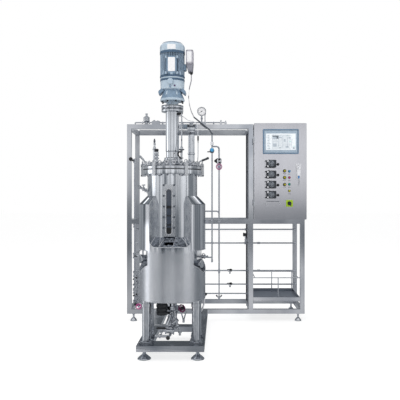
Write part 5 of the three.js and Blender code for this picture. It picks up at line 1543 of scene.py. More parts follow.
CAN = [(0, 0), (34, 0), (40, 6), (40, 21), (35, 26), (40, 31), (40, 47), (35, 52), (40, 57), (40, 73),
       (35, 78), (40, 83), (40, 99), (34, 105), (0, 105.5)]
lathe(work, soften(CAN, 2.5, 3), (-67, -67, 291), steps=56)
bar(work, (-67, -67, 310), (-10, -10, 292), 9)
piece("sampling_actuator", work, RIBBED, at=AXIS)
# %% Pipe the outlet
work = bmesh.new()
tube(work, [(0, 0, 216), (-4, -110, 196)], 13, 0, 28)
tube(work, [(0, -20, 212), (40, -90, 212), (60, -110, 212), (60, -110, 158)], 8, 22, 20)
tube(work, [(0, 0, 170), (-10, -130, 157), (-106, -130, 157)], 9, 24, 20)
RODS = [((-3, -78, 202), (-3.6, -90, 199.8), 19, 36), ((-4.4, -104, 197), (-5, -116, 195), 19, 36),
        ((60, -110, 176), (60, -110, 184), 13, 28), ((36, -84, 212), (41, -91, 212), 14, 28),
        ((-108, -130, 157), (-100, -130, 157), 14, 28), ((-80, -130, 157), (-72, -130, 157), 14, 28),
        ((-66, -130, 157), (-66, -130, 207), 5, 16), ((-66, -130, 180), (-66, -130, 190), 10, 20),
        ((-18, -128, 155), (-18, -146, 151.5), 7, 16), ((62, -40, 312), (81, -40, 244), 5, 16),
        ((100, -40, 312), (81, -40, 244), 5, 16), ((81, -40, 232), (81, -40, 250), 8, 20)]
for rod in RODS:
    bar(work, *rod)
# Clamped joints: each is a short body with a clamp ring at both ends.
JOINTS = [((-12, -70, 276), (-30, -100, 226), 13), ((22, -60, 300), (36, -84, 226), 11),
          ((-36, -118, 190), (18, -118, 186), 16), ((40, -104, 262), (14, -92, 236), 9)]
for start, end, r in JOINTS:
    start, end = Vector(start), Vector(end)
    bar(work, start, end, r, 28)
    aim = (end - start).normalized()
    for spot in (start, end):
        bar(work, spot - aim * 4, spot + aim * 4, r + 5, 32, 1.5)
piece("outlet_pipework", work, BUFFED, at=AXIS)


def ball(work, centre, radius):
    """A round grip."""
    arc = [(radius * math.sin(math.pi * i / 12), -radius * math.cos(math.pi * i / 12)) for i in range(1, 12)]
    lathe(work, [(0, -radius), *arc, (0, radius)], centre, steps=28)


work = bmesh.new()
block(work, (-102, -138, 205), (-34, -122, 219), 5, 3)
ball(work, (-18, -154, 150), 14)
piece("outlet_grips", work, BLACK, at=AXIS)
print("outlet valve under", NOZZLE)
# %% [markdown]
# ## Feed pipes
# Two upright pipes hang on the front tubes of the skid. A dark corrugated conduit brings the motor cable and
# the feed down from the vessel, a white tee splits it, and each branch has its own valve. Ribs on the conduit
# come from a sweep whose radius alternates along its length.
# %% Bend the feed pipes
def corrugated(work, points, radius, bend, pitch=4.0, depth=0.9, steps=18):
    """A flexible conduit: a swept circle with ribs along its length."""
    path = rounded(points, bend, 12)
    dense = []
    for a, b in zip(path, path[1:]):
        count = max(1, round((b - a).length / (pitch / 2)))
        dense += [a.lerp(b, i / count) for i in range(count)]
    dense.append(path[-1])
    sweep(work, dense, [radius - depth * (i % 2) for i in range(len(dense))], steps)


FRONT = (0, feed_y, 0)
LINE_A = (FEED_A, feed_y, 0)
LINE_B = (FEED_B, feed_y, 0)
rail_top = skid_top - TUBE
work = bmesh.new()
corrugated(work, [(-197, 0, 99), (-52, 0, -18), (FEED_A, 0, -52), (FEED_A, 0, -62)], 7, 40)
piece("feed_conduit", work, DARK, at=(0, feed_y, rail_top), slot="black_rubber", angle=60)
work = bmesh.new()
tube(work, [(FEED_A, 0, rail_top - 60), (FEED_A, 0, 536)], 6.8, 0, 24)
tube(work, [(FEED_A, 0, 1568), (FEED_B, 0, 1568), (FEED_B, 0, 438)], 6.8, 40, 24, 10)
tube(work, [(FEED_B, 0, 450), (FEED_B, 0, 208)], 5.5, 0, 20)
bar(work, (FEED_B, 0, 436), (FEED_B, 0, 470), 9.5, 28)
bar(work, (FEED_B, 0, 200), (FEED_B, 0, 224), 9)
for dx in (-26, 24):
    bar(work, (FEED_B, 0, 214), (FEED_B + dx * 0.75, 0, 233), 6, 20)
piece("feed_pipes", work, DRAWN, at=FRONT, solid="feed_pipe")
# %% Fittings on the feed pipes
TEE = [(0, 1580), (12, 1580), (15, 1583), (15, 1588), (12, 1590), (12, 1598), (15, 1600), (15, 1606),
       (9, 1608), (0, 1608)]
turned("feed_tee", TEE, PEARL, LINE_A, 0.8, 28)
work = bmesh.new()
lathe(work, soften([(0, 1510), (13, 1510), (16, 1514), (17, 1520), (17, 1546), (13, 1552), (0, 1552)], 1.2),
      steps=28)
bar(work, (0, 0, 1529), (0, -26, 1529), 21, 36, 3)
bar(work, (-14, -2, 1520), (-42, -6, 1520), 5, 16)
piece("feed_valve_body", work, DARK, at=LINE_A)
knob_base = (FEED_A, feed_y - 26.3, 1533)
CAP_DOME = [(0, 0), (12, 0), (14, 2), (16, 6), (16, 18), (14, 23), (9, 25.5), (0, 26)]
turned("feed_cap_dome", CAP_DOME, CAP_BLUE, knob_base, 1.5, 40, FRONT_WAY, body="feed_cap", solid="feed_knob")
work = bmesh.new()
block(work, (-1.4, -18, 15), (1.4, -6, 16.6), 0.5)
ringed("feed_cap_ribs", work, 16, knob_base, CAP_BLUE, axis=(0, 1, 0), body="feed_cap")
work = bmesh.new()
lathe(work, soften([(0, 1412), (14, 1412), (20, 1418), (22, 1424), (22, 1452), (19, 1459), (12, 1464),
                    (0, 1464)]), steps=32)
lathe(work, soften([(0, 1356), (12, 1358), (15, 1362), (15, 1406), (12, 1412), (0, 1412)], 1.2), steps=28)
bar(work, (0, 0, 1385), (0, -34, 1385), 10)
lathe(work, [(0, 534), (9, 534), (9, 556), (8, 560), (0, 560)], (FEED_A - FEED_B, 0, 0), steps=24)
piece("branch_valve", work, BUFFED, at=LINE_B)
work = bmesh.new()
WEDGE = [(-46, 1438), (-40, 1446), (-20, 1462), (-8, 1458), (-8, 1426), (-20, 1416), (-40, 1430)]
plate(work, WEDGE[::-1], -14, 2, 3, 3)
bar(work, (2, -18, 1450), (2, -26, 1450), 10)
bar(work, (6, -18, 1424), (6, -24, 1424), 8)
for dx in (-26, 24):
    bar(work, (dx * 0.7, 0, 232), (dx, 0, 240), 7, 16)
piece("feed_black_fittings", work, BLACK, at=LINE_B)
work = bmesh.new()
rail_mid = span("cross_mid_1")[0].z + TUBE / 2
for x in (FEED_A, FEED_B):
    block(work, (x - 12, -11, rail_mid - 9), (x + 12, -6, rail_mid + 9), 1.5)
    for z in (rail_mid - 9, rail_mid + 6):
        block(work, (x - 11, -8, z), (x + 11, TUBE + 0.2, z + 3), 1)
block(work, (-100, -4, rail_top + 10), (-80, TUBE + 0.2, rail_top + 28), 2)
piece("feed_clips", work, BUFFED, at=FRONT, slot="frame_steel")
# %% Jacket return, side drain and hose
back = feed_y - vy
work = bmesh.new()
tube(work, [(179, 94, 1008), (179, back, 990), (FEED_B - vx, back, 990), (FEED_B - vx, back, 930)], 6.5, 60,
     20, 10)
piece("jacket_return", work, DRAWN, at=AXIS)
work = bmesh.new()
side = CLAD_R + 12
tube(work, [(170, 0, 690), (side, 0, 690), (side, 150, 678), (side - 26, back - 40, 584),
            (side - 26, back, 578), (FEED_A - vx, back, 578)], 6.5, 24, 20, 8)
piece("side_drain", work, DRAWN, at=AXIS)
work = bmesh.new()
for x, reach, r in ((221, 15, 13), (214, 2, 17), (228, 2, 17)):
    bar(work, (x - reach, 0, 690), (x + reach, 0, 690), r, 28)
bar(work, (221, -10, 694), (221, -26, 700), 5, 16)
hoop(work, (221, -27, 706), (0, 1, 0), 9, 2.4)
piece("side_drain_valve", work, BUFFED, at=AXIS)
work = bmesh.new()
tube(work, [(-168, -20, 700), (-230, -20, 696), (-266, 20, 702), (-272, 300, 706)], 6.5, 24, 20, 8)
piece("left_feed", work, DRAWN, at=AXIS)
HOSE_AT = (0, vy + 130, 0)
work = bmesh.new()
tube(work, [(-70, 0, 400), (-80, 0, 378), (-84, 0, 320), (-104, 0, 276)], 6, 30)
piece("drain_hose", work, HOSE, at=HOSE_AT)
work = bmesh.new()
bar(work, (-104, 0, 276), (-110, 0, 250), 8, 20)
bar(work, (-70, 0, 396), (-66, 0, 412), 9, 20)
bar(work, (-112, 4, 372), (-112, 4, 262), 4, 16)
piece("drain_hose_ends", work, BLACK, at=HOSE_AT)
print("feed pipes at", FEED_A, FEED_B)
# %% [markdown]
# ## Pipes at the back and the left post
# Five thin pipes cross the skid behind the rear posts on saddles. Two have small lever valves, one has a seat
# valve with a leaning spindle, and a riser joins them at the left. A second riser stands inside the left
# front post with its own valves, a ball lever at eye height and a handwheel near the floor.
# %% Run the manifold
MANIFOLD_Z = (168, 260, 394, 666, 800)
SEAT_Z = MANIFOLD_Z[3]
LEVER_Z = MANIFOLD_Z[1:3]
manifold_y = rear_y - TUBE - 8
BACK = (0, manifold_y, 0)
riser_x = skid_left + TUBE + 22
join_x = riser_x + 16
post = skid_right - TUBE / 2
work = bmesh.new()
for z in MANIFOLD_Z:
    bar(work, (-post - 4, 0, z), (post + 4, 0, z), 7, 20)
bar(work, (join_x, 0, 160), (join_x, 0, 808), 8, 20)
for x, z in ((-470, 394), (-470, 260), (-40, 666), (420, 394), (420, 666), (join_x, 394), (join_x, 666)):
    bar(work, (x - 13, 0, z), (x + 13, 0, z), 10.5)
for z in LEVER_Z:
    bar(work, (137, 0, z), (137, 0, z - 30), 6, 20)
    bar(work, (137, 0, z - 22), (137, 0, z - 30), 9, 20)
piece("manifold_pipes", work, DRAWN, at=BACK, solid="pipe_manifold")
# %% Saddles, lever valves and the seat valve
work = bmesh.new()
for z in MANIFOLD_Z:
    for x in (-post, post):
        block(work, (x - 9, -2, z - 10), (x + 9, 8.2, z + 10), 1)
        bar(work, (x - 8, 0, z), (x + 8, 0, z), 9.5, 24, 1.5)
piece("pipe_saddles", work, BUFFED, at=BACK, slot="frame_steel")
work = bmesh.new()
for z in LEVER_Z:
    bar(work, (118, 0, z), (156, 0, z), 11, 6, 1.5)
    bar(work, (126, 0, z), (148, 0, z), 12.5, 28, 3)
    bar(work, (137, -8, z), (137, -24, z), 8, 20)
    block(work, (131, -34, z - 4), (143, -20, z + 20), 3)
bar(work, (post_x - 18, -5, SEAT_Z), (post_x + 18, -5, SEAT_Z), 13, 28, 2)
bar(work, (post_x, -6, SEAT_Z), (post_x - 10, -14, SEAT_Z + 84), 7)
bar(work, (post_x - 2, -7, SEAT_Z + 12), (post_x - 4.6, -9.6, SEAT_Z + 38), 11, 28, 2)
bar(work, (post_x - 14, 0, 800), (post_x + 12, 0, 800), 11, 24, 2)
piece("manifold_valves", work, BUFFED, at=BACK)
work = bmesh.new()
for z in LEVER_Z:
    block(work, (107, -33, z + 9), (160, -23, z + 17), 2)
piece("manifold_levers", work, BLACK, at=BACK)
work = bmesh.new()
for z in LEVER_Z:
    knob = [(131, z), (134, z + 21), (152, z + 21), (158, z + 13), (153, z)]
    plate(work, knob[::-1], -34, -22, 2.5, 3)
wheel = [(0, 0), (14, 0), (18.5, 4), (18.5, 12), (14, 16), (14, 26), (18.5, 30), (18.5, 38), (14, 42),
         (0, 42)]
lathe(work, soften(wheel, 2), (post_x - 31, -14, SEAT_Z + 84), (1, 0, 0), 32)
piece("manifold_grips", work, BLACK, at=BACK)
# %% Stand the left riser
riser_y = face_y + TUBE + 12
RISER = (riser_x, riser_y, 0)
reach = manifold_y - riser_y
work = bmesh.new()
tube(work, [(0, 0, 150), (0, 0, 1440)], 7, 0, 20)
bar(work, (0, 0, 394), (0, reach, 394), 6, 20)
tube(work, [(0, 0, 190), (37, 0, 160), (37, -60, 140)], 7, 16, 20)
tube(work, [(0, 0, 1445), (0, -66, 1449), (-18, -73, 1453)], 6, 10, 18)
piece("left_riser", work, DRAWN, at=RISER)
work = bmesh.new()
COLLARS = ((1425, 1465, 14), (840, 872, 15), (560, 610, 16), (392, 446, 15), (240, 290, 16))
for low, high, r in COLLARS:
    third = (high - low) * 0.28
    profile = [(6, low), (r - 1, low), (r, low + 1), (r, low + third), (r - 3.5, low + third + 2),
               (r - 3.5, high - third - 2), (r, high - third), (r, high - 1), (r - 1, high), (6, high),
               (6, low)]
    lathe(work, soften(profile, 0.6), steps=32)
bar(work, (0, 0, 585), (26, -12, 585), 10)
bar(work, (0, 0, 583), (0, -25, 583), 8)
bar(work, (43, -40, 141.5), (45, -54, 137), 12, 28, 2)
for z, r in ((215, 12), (258, 15), (322, 12), (352, 15), (410, 13)):
    bar(work, (34, 6, z - 11), (34, 6, z + 11), r, 28, 2)
    bar(work, (14, 2, z), (36, 6, z), 7, 20)
    bar(work, (4, -16, z + 16), (4, -16, z + 32), r - 2, 28, 2)
bar(work, (34, 6, 160), (34, 6, 440), 7, 20)


def small_valves(work, heights, body, stem):
    """A leaning valve body at each height, with its stem below at the left: (radius, half length) each."""
    for z in heights:
        bar(work, (14, -12, z - body[1]), (20, -12, z + body[1]), body[0], 20, 2)
        bar(work, (-10, -18, z - 12 - stem[1]), (-4, -18, z - 12 + stem[1]), stem[0], 20, 2)


small_valves(work, (190, 290, 336), (9, 10), (7, 8))
piece("left_riser_fittings", work, BUFFED, at=RISER)
work = bmesh.new()
block(work, (-6, -30, 579), (66, -21, 588), 3, 3)
small_valves(work, (236, 384), (8, 8), (7, 6))
bar(work, (2, -30, 150), (30, -30, 142), 12, 24, 2)
ball(work, (-24, -76, 1457), 17.5)
bar(work, (-18, -74, 1452), (2, -70, 1438), 6.5, 20)
piece("left_riser_grips", work, BLACK, at=RISER)
handwheel("left_wheel", (riser_x + 45, riser_y - 64, 134), (0, -1, 0.1), 27, 9, MAGENTA, SHADED_BLUE)
work = bmesh.new()
bar(work, (0, 3, 0), (0, 26, 0), 11, 32, 1.5)
bar(work, (0, -2, 0), (0, 4, 0), 7, 24, 1)
bar(work, (-14, 14, 0), (0, 14, 0), 6, 20)
piece("corner_port", work, BUFFED, at=(riser_x - 10, face_y, skid_top - 52))
print("manifold", len(MANIFOLD_Z), "pipes")
# %% [markdown]
# ## Air line
# A thin pipe runs along the top rail from a pressure regulator to two small outlets, with a gauge on a stem.
# The gauge has a recessed dial under glass. Its scale marks are one small bar repeated by the ring tree.
# %% Lay the air line
ON_RAIL = (0, face_y + TUBE / 2, skid_top)
PIPE = 17
GAUGE_X = -128
left = riser_x + 10
work = bmesh.new()
tube(work, [(left, 0, 0), (left, 0, PIPE), (98, 0, PIPE)], 6, 14, 20)
bar(work, (-98, 0, PIPE), (-98, 0, 104), 4, 16)
bar(work, (GAUGE_X, 0, PIPE), (GAUGE_X, 0, 86), 7, 20)
bar(work, (GAUGE_X, 0, 46), (GAUGE_X, 0, 62), 10, 6, 1.5)
for x in (-480, -300, -20):
    block(work, (x - 7, -9, 0), (x + 7, 9, PIPE - 2), 1.5)
    bar(work, (x - 5, 0, PIPE), (x + 5, 0, PIPE), 8.5, 24, 1.5)
piece("air_pipe", work, DRAWN, at=ON_RAIL, solid="air_line")
work = bmesh.new()
BOWL = [(0, 0), (21, 0), (22, 1), (22, 5), (20, 7), (12, 10), (12, 24), (30, 33), (34, 38), (34, 52),
        (32, 55), (32, 60), (34, 62), (34, 75), (30, 80), (24, 84), (13, 89), (12, 91), (12, 104), (14, 106),
        (14, 117), (12, 118), (0, 118)]
BOWL_SCALE = 0.84
lathe(work, soften([(r * BOWL_SCALE, h * BOWL_SCALE) for r, h in BOWL], 1), (left + 102, 0, 0), steps=56)
for x in (left + 66, left + 128):
    bar(work, (x - 5, 0, PIPE), (x + 5, 0, PIPE), 11, 6, 1.5)
block(work, (-142, -12, 0), (-88, 12, 24), 2.5)
for x in (46, 88):
    block(work, (x - 10, -12, 0), (x + 10, 12, 25), 2)
    bar(work, (x, 0, 23), (x, 0, 34), 5, 20)
bar(work, (-98, 0, 90), (-98, 0, 110), 8, 24, 2)
piece("air_fittings", work, BUFFED, at=ON_RAIL)
work = bmesh.new()
block(work, (left + 151, -18, 0.2), (left + 224, 18, 31), 3)
bar(work, (left + 172, 0, 30), (left + 172, 0, 40), 9, 28, 1.5)
bar(work, (left + 204, 0, 30), (left + 204, 0, 36), 6, 24, 1)
bar(work, (46, 0, 32), (46, 0, 38), 8, 24, 1)
piece("air_block", work, SATIN, at=ON_RAIL, slot="polished_steel")
spots = [((left + x, ON_RAIL[1] - 18, skid_top + z), (0, -1, 0)) for x in (157, 218) for z in (6, 25)]
screws("air_block_screws", spots, BUFFED, 5, 2.5)
# %% Fit the gauge
gauge = Vector(ON_RAIL) + Vector((GAUGE_X, 0, 117))
CASE = [(0, -15), (36, -15), (39, -13), (39, -2), (40.5, 0), (40.5, 13), (39, 15), (36.5, 15), (35.5, 13),
        (35.5, 9), (0, 9)]
turned("gauge_case", CASE, BUFFED, gauge, 1, 64, FRONT_WAY)
turned("gauge_dial", [(0, 9.1), (35, 9.1), (35, 9.6), (0, 9.6)], DIAL, gauge, 0, 64, FRONT_WAY)
work = bmesh.new()
block(work, (-0.5, -9.9, 27), (0.5, -9.5, 32.5), 0)
ringed("gauge_marks", work, 36, gauge, BLACK, axis=(0, 1, 0), slot="dark_plastic")
work = bmesh.new()
plate(work, [(-1.6, -9), (1.6, -9), (0.4, 26), (-0.4, 26)], -11.2, -10.6, 0)
NEEDLE = math.radians(-128)
bmesh.ops.rotate(work, matrix=Matrix.Rotation(NEEDLE, 3, "Y"), verts=work.verts)
bar(work, (0, -9.4, 0), (0, -12, 0), 4)
piece("gauge_needle", work, BLACK, at=gauge, slot="dark_plastic")
# %% [markdown]
# ## Shelf in the right bay
# A deep sheet tray with a darker liner hangs between the tubes under the cabinet. A thin round guard rail
# runs round it on uprights, as a stop for bottles.
# %% Fold the tray and bend the guard
left, right = post_x + TUBE, skid_right - TUBE
near, far = face_y + 2, rear_y - 2
TRAY = (0, 0, span("shelf")[0].z)
work = bmesh.new()
block(work, (left, near, 0), (right, far, 8), 1.5)
for low, high in (((left, near), (right, near + 4)), ((left, far - 4), (right, far)),
                  ((left, near), (left + 4, far)), ((right - 4, near), (right, far))):
    block(work, (*low, 0), (*high, 37), 1.2)
piece("tray", work, SATIN, at=TRAY, solid="shelf")
work = bmesh.new()
block(work, (left + 5, near + 5, 8), (right - 5, far - 5, 10), 0.5)
block(work, (left + 5, far - 9, 8), (right - 5, far - 4.5, 35), 0.5)
piece("tray_liner", work, SLATE, at=TRAY)
rail = span("shelf")[1].z - 4.5 - TRAY[2]
front, rear = face_y + 20, manifold_y - 16
mid = (left + right) / 2
work = bmesh.new()
tube(work, [(left, front, rail), (left + 16, front, rail), (left + 16, rear, rail), (right - 16, rear, rail),
            (right - 16, front, rail), (right, front, rail)], 4.5, 16, 14)
bar(work, (left, front, rail), (right, front, rail), 4.5, 16)
for x, y in ((mid + 15, front), (mid - 1, rear), (left + 16, rear), (right - 16, rear)):
    bar(work, (x, y, 5), (x, y, rail), 4.5, 16)
    bar(work, (x, y, 8), (x, y, 13), 9, 20, 1.5)
piece("tray_guard", work, POLISHED, at=TRAY)
print("tray at", round(TRAY[2]), "guard", round(rail), "above it")
# %% [markdown]
# ## Control cabinet
# The cabinet stands on the middle rail in the right bay. Its box is folded sheet with an inner mounting
# plate, and its door hangs on two hinges at the left. Everything on the door rides with the door, except the
# knobs and the lock handle, which ride on bodies of their own. Pieces on the door are drawn from its outer
# face.
# %% Fold the box and the door
DOOR = Vector((0, door_y, 0))


def on_door(name, work, finish, body="door", **seat):
    """A piece drawn from the door's face, riding on the door unless another body is named."""
    return piece(name, work, finish, at=DOOR, body=body, **seat)


cab_low, cab_high = span("cabinet_box")
pump_x = span("pump_1")[0].x
door_left, door_right = pump_x - 94, cab_high.x + 6
HINGE_Z = (1622, 1068)
piece("cabinet_shell", copied("cabinet_box", 1.8), BRUSHED, solid="cabinet_box")
work = bmesh.new()
panel(work, (door_left, cab_low.z + 2), (door_right, cab_high.z - 2), 5, 0, 24.7, 2.2, 3, steps=4)
for z in HINGE_Z:
    block(work, (door_left - 3, -3.6, z - 26), (door_left + 22, 2, z + 26), 0.8)
on_door("door_leaf", work, BRUSHED, solid="cabinet_door")
work = bmesh.new()
for z in HINGE_Z:
    for low, high in ((-27, -9.4), (-8.8, 8.8), (9.4, 27)):
        bar(work, (door_left - 4, -3, z + low), (door_left - 4, -3, z + high), 6, 24, 1)
on_door("door_hinges", work, BUFFED)
spots = [((door_left + 15, door_y - 3.6, z + dz), FRONT_WAY) for z in HINGE_Z for dz in (-17, 0, 17)]
screws("hinge_screws", spots, BUFFED, 5, 1.6, body="door")
# %% Flap and louvres
work = bmesh.new()
panel(work, (pump_x, 1020), (pump_x + 138, 1085), 3, -5, 0.2, 1.6, steps=3)
on_door("door_flap", work, BRUSHED)
# A thin dark strip along the top of the flap paints a shadow line there.
work = bmesh.new()
block(work, (pump_x + 12, -6.4, 1076), (pump_x + 126, -4.6, 1081), 0.6)
on_door("flap_painted_shadow_line", work, SHADED)
spots = [((pump_x + x, door_y - 5, 1056), FRONT_WAY) for x in (6, 132)]
screws("flap_screws", spots, HIGHLIGHT_STEEL, 9, 2.4, body="door")
work = bmesh.new()
for i in range(8):
    plate(work, [(-0.5, 9 + 16 * i), (1.6, 5 + 16 * i), (3.2, 16 * i), (-0.5, 16 * i)], 90, 220, 0.6)
piece("side_louvres", work, BRUSHED, at=(cab_high.x, cab_low.y, 1010))
# %% Mounting plate, ducts and rail modules
rear = cab_high.y
work = bmesh.new()
block(work, (cab_low.x + 30, rear - 0.5, cab_low.z + 60), (cab_high.x - 30, rear + 1.6, cab_high.z - 60), 0.8)
block(work, (cab_low.x + 26, rear - 20, cab_low.z + 50), (cab_high.x - 26, rear - 17, cab_high.z - 50), 0.6)
piece("mounting_plate", work, SATIN)
heights = (cab_low.z + 72, (cab_low.z + cab_high.z) / 2, cab_high.z - 72)
spots = [((x, rear + 1.6, z), (0, 1, 0)) for x in (cab_low.x + 42, cab_high.x - 42) for z in heights]
screws("rear_cover_screws", spots, BUFFED)
work = bmesh.new()
for z in (1030, 1290, 1550):
    block(work, (cab_low.x + 50, rear - 60, z), (cab_high.x - 50, rear - 20, z + 40), 1)
for x in (cab_low.x + 32, cab_high.x - 60):
    block(work, (x, rear - 60, cab_low.z + 90), (x + 28, rear - 20, cab_high.z - 90), 1)
piece("wiring_duct", work, BOX_GREY, slot="white_plastic")
work = bmesh.new()
for z, wide, tall, count in ((1140, 17, 84, 18), (1400, 34, 90, 9), (1650, 52, 70, 5)):
    for i in range(count):
        x = cab_low.x + 86 + i * (wide + 1.5)
        block(work, (x, rear - 78, z), (x + wide, rear - 20, z + tall), 1.5, 1)
piece("rail_modules", work, BOX_DARK, slot="dark_plastic")
print("door", round(door_left), round(door_right))
# %% [markdown]
# ## Touch panel
# The panel has a raised blue-grey rim, a paler bezel and a lit screen that sits lower. The screen shows a
# plain diagram of a vessel with pipes and a column of list rows, drawn as thin coloured shapes without any
# text.
# %% Frame the screen
hmi_low, hmi_high = span("hmi")
RIM = 10
work, opening = bmesh.new(), bmesh.new()
panel(work, (hmi_low.x, hmi_low.z), (hmi_high.x, hmi_high.z), 7, door_y - 14, door_y - 0.3, 2.5, 3, steps=5)
inner_low, inner_high = (hmi_low.x + RIM, hmi_low.z + RIM), (hmi_high.x - RIM, hmi_high.z - RIM)
panel(opening, inner_low, inner_high, 3, door_y - 30, door_y - 9, 0, steps=4)
piece("screen_rim", combined(work, [opening]), RIM_BLUE, body="door", solid="hmi")
left, right = hmi_low.x + RIM + 0.5, hmi_high.x - RIM - 0.5
base, head = hmi_low.z + RIM + 0.5, hmi_high.z - RIM - 0.5
work = bmesh.new()
block(work, (left, -10.2, base), (right, -8.8, head), 0.3, 1)
on_door("screen_bezel", work, BEZEL)
GLASS_LEFT, GLASS_BASE = left + 16, base + 24
GLASS_WIDE, GLASS_TALL = right - left - 32, head - base - 53
work = bmesh.new()
block(work, (GLASS_LEFT, -10.8, GLASS_BASE), (GLASS_LEFT + GLASS_WIDE, -10, GLASS_BASE + GLASS_TALL), 0.2, 1)
on_door("screen_face", work, SCREEN)


def marks(name, finish, shapes, lift=0.0):
    """Flat shapes on the screen, placed by shares of its width and height."""
    work = bmesh.new()
    for x, z, wide, tall in shapes:
        low_x, low_z = GLASS_LEFT + x * GLASS_WIDE, GLASS_BASE + z * GLASS_TALL
        high_x, high_z = low_x + wide * GLASS_WIDE, low_z + tall * GLASS_TALL
        block(work, (low_x, -11.2 - lift, low_z), (high_x, -10.7, high_z), 0)
    on_door(name, work, finish)


rows = [(0.05, 0.08 + 0.095 * i, 0.07 if i % 3 else 0.1, 0.035) for i in range(9)]
pipes = [(0.22, 0.86, 0.66, 0.012), (0.22, 0.5, 0.2, 0.012), (0.42, 0.2, 0.012, 0.67),
         (0.56, 0.12, 0.012, 0.74), (0.72, 0.2, 0.012, 0.6), (0.56, 0.3, 0.3, 0.012), (0.8, 0.62, 0.1, 0.012),
         (0.86, 0.12, 0.012, 0.5)]
panels = [(0.22, 0.66, 0.14, 0.14), (0.23, 0.2, 0.13, 0.2), (0.44, 0.74, 0.1, 0.06), (0.66, 0.14, 0.1, 0.1),
          (0.6, 0.5, 0.06, 0.16), (0.76, 0.7, 0.07, 0.08), (0.44, 0.12, 0.08, 0.05), (0.9, 0.06, 0.07, 0.12)]
marks("screen_field", SCREEN_PALE, [(0.2, 0.04, 0.62, 0.9), (0.22, 0.68, 0.2, 0.2)])
marks("screen_list", SCREEN_GREY, rows + pipes + panels, 0.3)
marks("screen_lights", SCREEN_TEAL, [(0.79, 0.5, 0.05, 0.04), (0.91, 0.22, 0.06, 0.03),
                                     (0.7, 0.86, 0.03, 0.03)], 0.3)
# %% [markdown]
# ## Pumps
# Four dosing pumps share one design: a steel plate, a dark head with a turning rotor and rollers, bright tube
# clamps at its left and a speed knob on the plate at its right.
# %% Build a pump
PUMP_Z = (1409, 1315, 1226, 1137)


def pump(name, z):
    """One pump centred at height z, drawn from the left end of its plate."""
    seat = {"at": (pump_x, door_y, z), "body": "door"}
    work = bmesh.new()
    panel(work, (0, -37.5), (136, 37.5), 3, -12, -0.3, 1.2, steps=3)
    piece(f"{name}_plate", work, BRUSHED, **seat)
    work = bmesh.new()
    panel(work, (10, -33.5), (95, 33.5), 7, -58, -11.8, 3, 3, steps=4)
    for low in (22, -30):
        block(work, (-0.5, -40, low), (8, -24, low + 9), 1.5)
    piece(f"{name}_head", work, PUMP, solid=name, **seat)
    work = bmesh.new()
    panel(work, (29, -27), (91, 27), 5, -60.5, -57, 1.2, steps=4)
    piece(f"{name}_face", work, PUMP, **seat)
    work = bmesh.new()
    rotor = soften([(0, 0), (26, 0), (27, 2), (27, 10), (24, 13), (24, 22), (20, 26), (0, 27)], 1)
    axle = soften([(0, 24), (10, 24), (12, 27), (12, 37), (10, 39), (0, 39)], 1)
    lathe(work, rotor, (50, -57, 0), FRONT_WAY, 40)
    lathe(work, axle, (50, -57, 0), FRONT_WAY, 28)
    piece(f"{name}_rotor", work, ROTOR, **seat)
    work = bmesh.new()
    bar(work, (0, -29, 18), (0, -12, 18), 5.2, 20)
    ringed(f"{name}_rollers", work, 3, (pump_x + 50, door_y - 57, z), SHADED, (0, 1, 0), 25 + 40 * (z % 3),
           body="door")
    work = bmesh.new()
    for low, high in ((13, 30), (-31, -15)):
        block(work, (14, -66, low), (27, -56, high), 2.5, 3)
    piece(f"{name}_clamps", work, PEARL, **seat)
    work = bmesh.new()
    knob = soften([(0, 0), (11.5, 0), (12.5, 1), (12.5, 4), (10.5, 6), (10.5, 22), (9, 24), (0, 24)], 0.8)
    lathe(work, knob, (113, -11.8, -4), FRONT_WAY, 32)
    piece(f"{name}_knob", work, BLACK, slot="dark_plastic", **seat)
    work = bmesh.new()
    block(work, (-0.4, -30, 10.2), (0.4, -18, 11.0), 0.2, 1)
    ringed(f"{name}_knob_ribs", work, 18, (pump_x + 113, door_y - 2, z - 4), DARK, (0, 1, 0), body="door")
    work = bmesh.new()
    tube(work, [(20, -62, 30), (20, -62, 37), (34, -50, 38), (34, -14, 37)], 2.4, 6, 12)
    piece(f"{name}_tube", work, HOSE, **seat)


for i, z in enumerate(PUMP_Z):
    pump(f"pump_{i + 1}", z)
print("pumps", len(PUMP_Z))
# %% [markdown]
# ## Switches, lamps and lock
# Three yellow selectors with bare labels, four signal lamps, a main switch on its yellow-green plate and a
# swing-handle lock. A grip blade on each knob shows where it points.
# %% Make the switches
def grip(name, node, y, radius, skirt, depth, finish, body, turn=0, long=0.95):
    """A turning knob with a waisted grip blade, along −Y from y."""
    centre = middle(node)
    work = bmesh.new()
    foot = [(0, 0), (radius - 0.6, 0), (radius, 0.6), (radius, skirt - 1.5), (radius * 0.8, skirt + 2),
            (0, skirt + 2)]
    lathe(work, soften(foot, 0.8), axis=FRONT_WAY, steps=40)
    half = radius * 0.28
    blade = [(-half * 1.25, -radius * 0.9), (half * 1.25, -radius * 0.9), (half, -radius * 0.2),
             (half * 0.9, radius * 0.2), (half * 1.1, radius * 0.7), (0, radius * long),
             (-half * 1.1, radius * 0.7), (-half * 0.9, radius * 0.2), (-half, -radius * 0.2)]
    c, s = math.cos(math.radians(turn)), math.sin(math.radians(turn))
    plate(work, [(a * c + b * s, b * c - a * s) for a, b in blade][::-1], -depth, 1 - skirt, 1.0, 3)
    piece(name, work, finish, at=(centre.x, y, centre.z), body=body, solid=node)


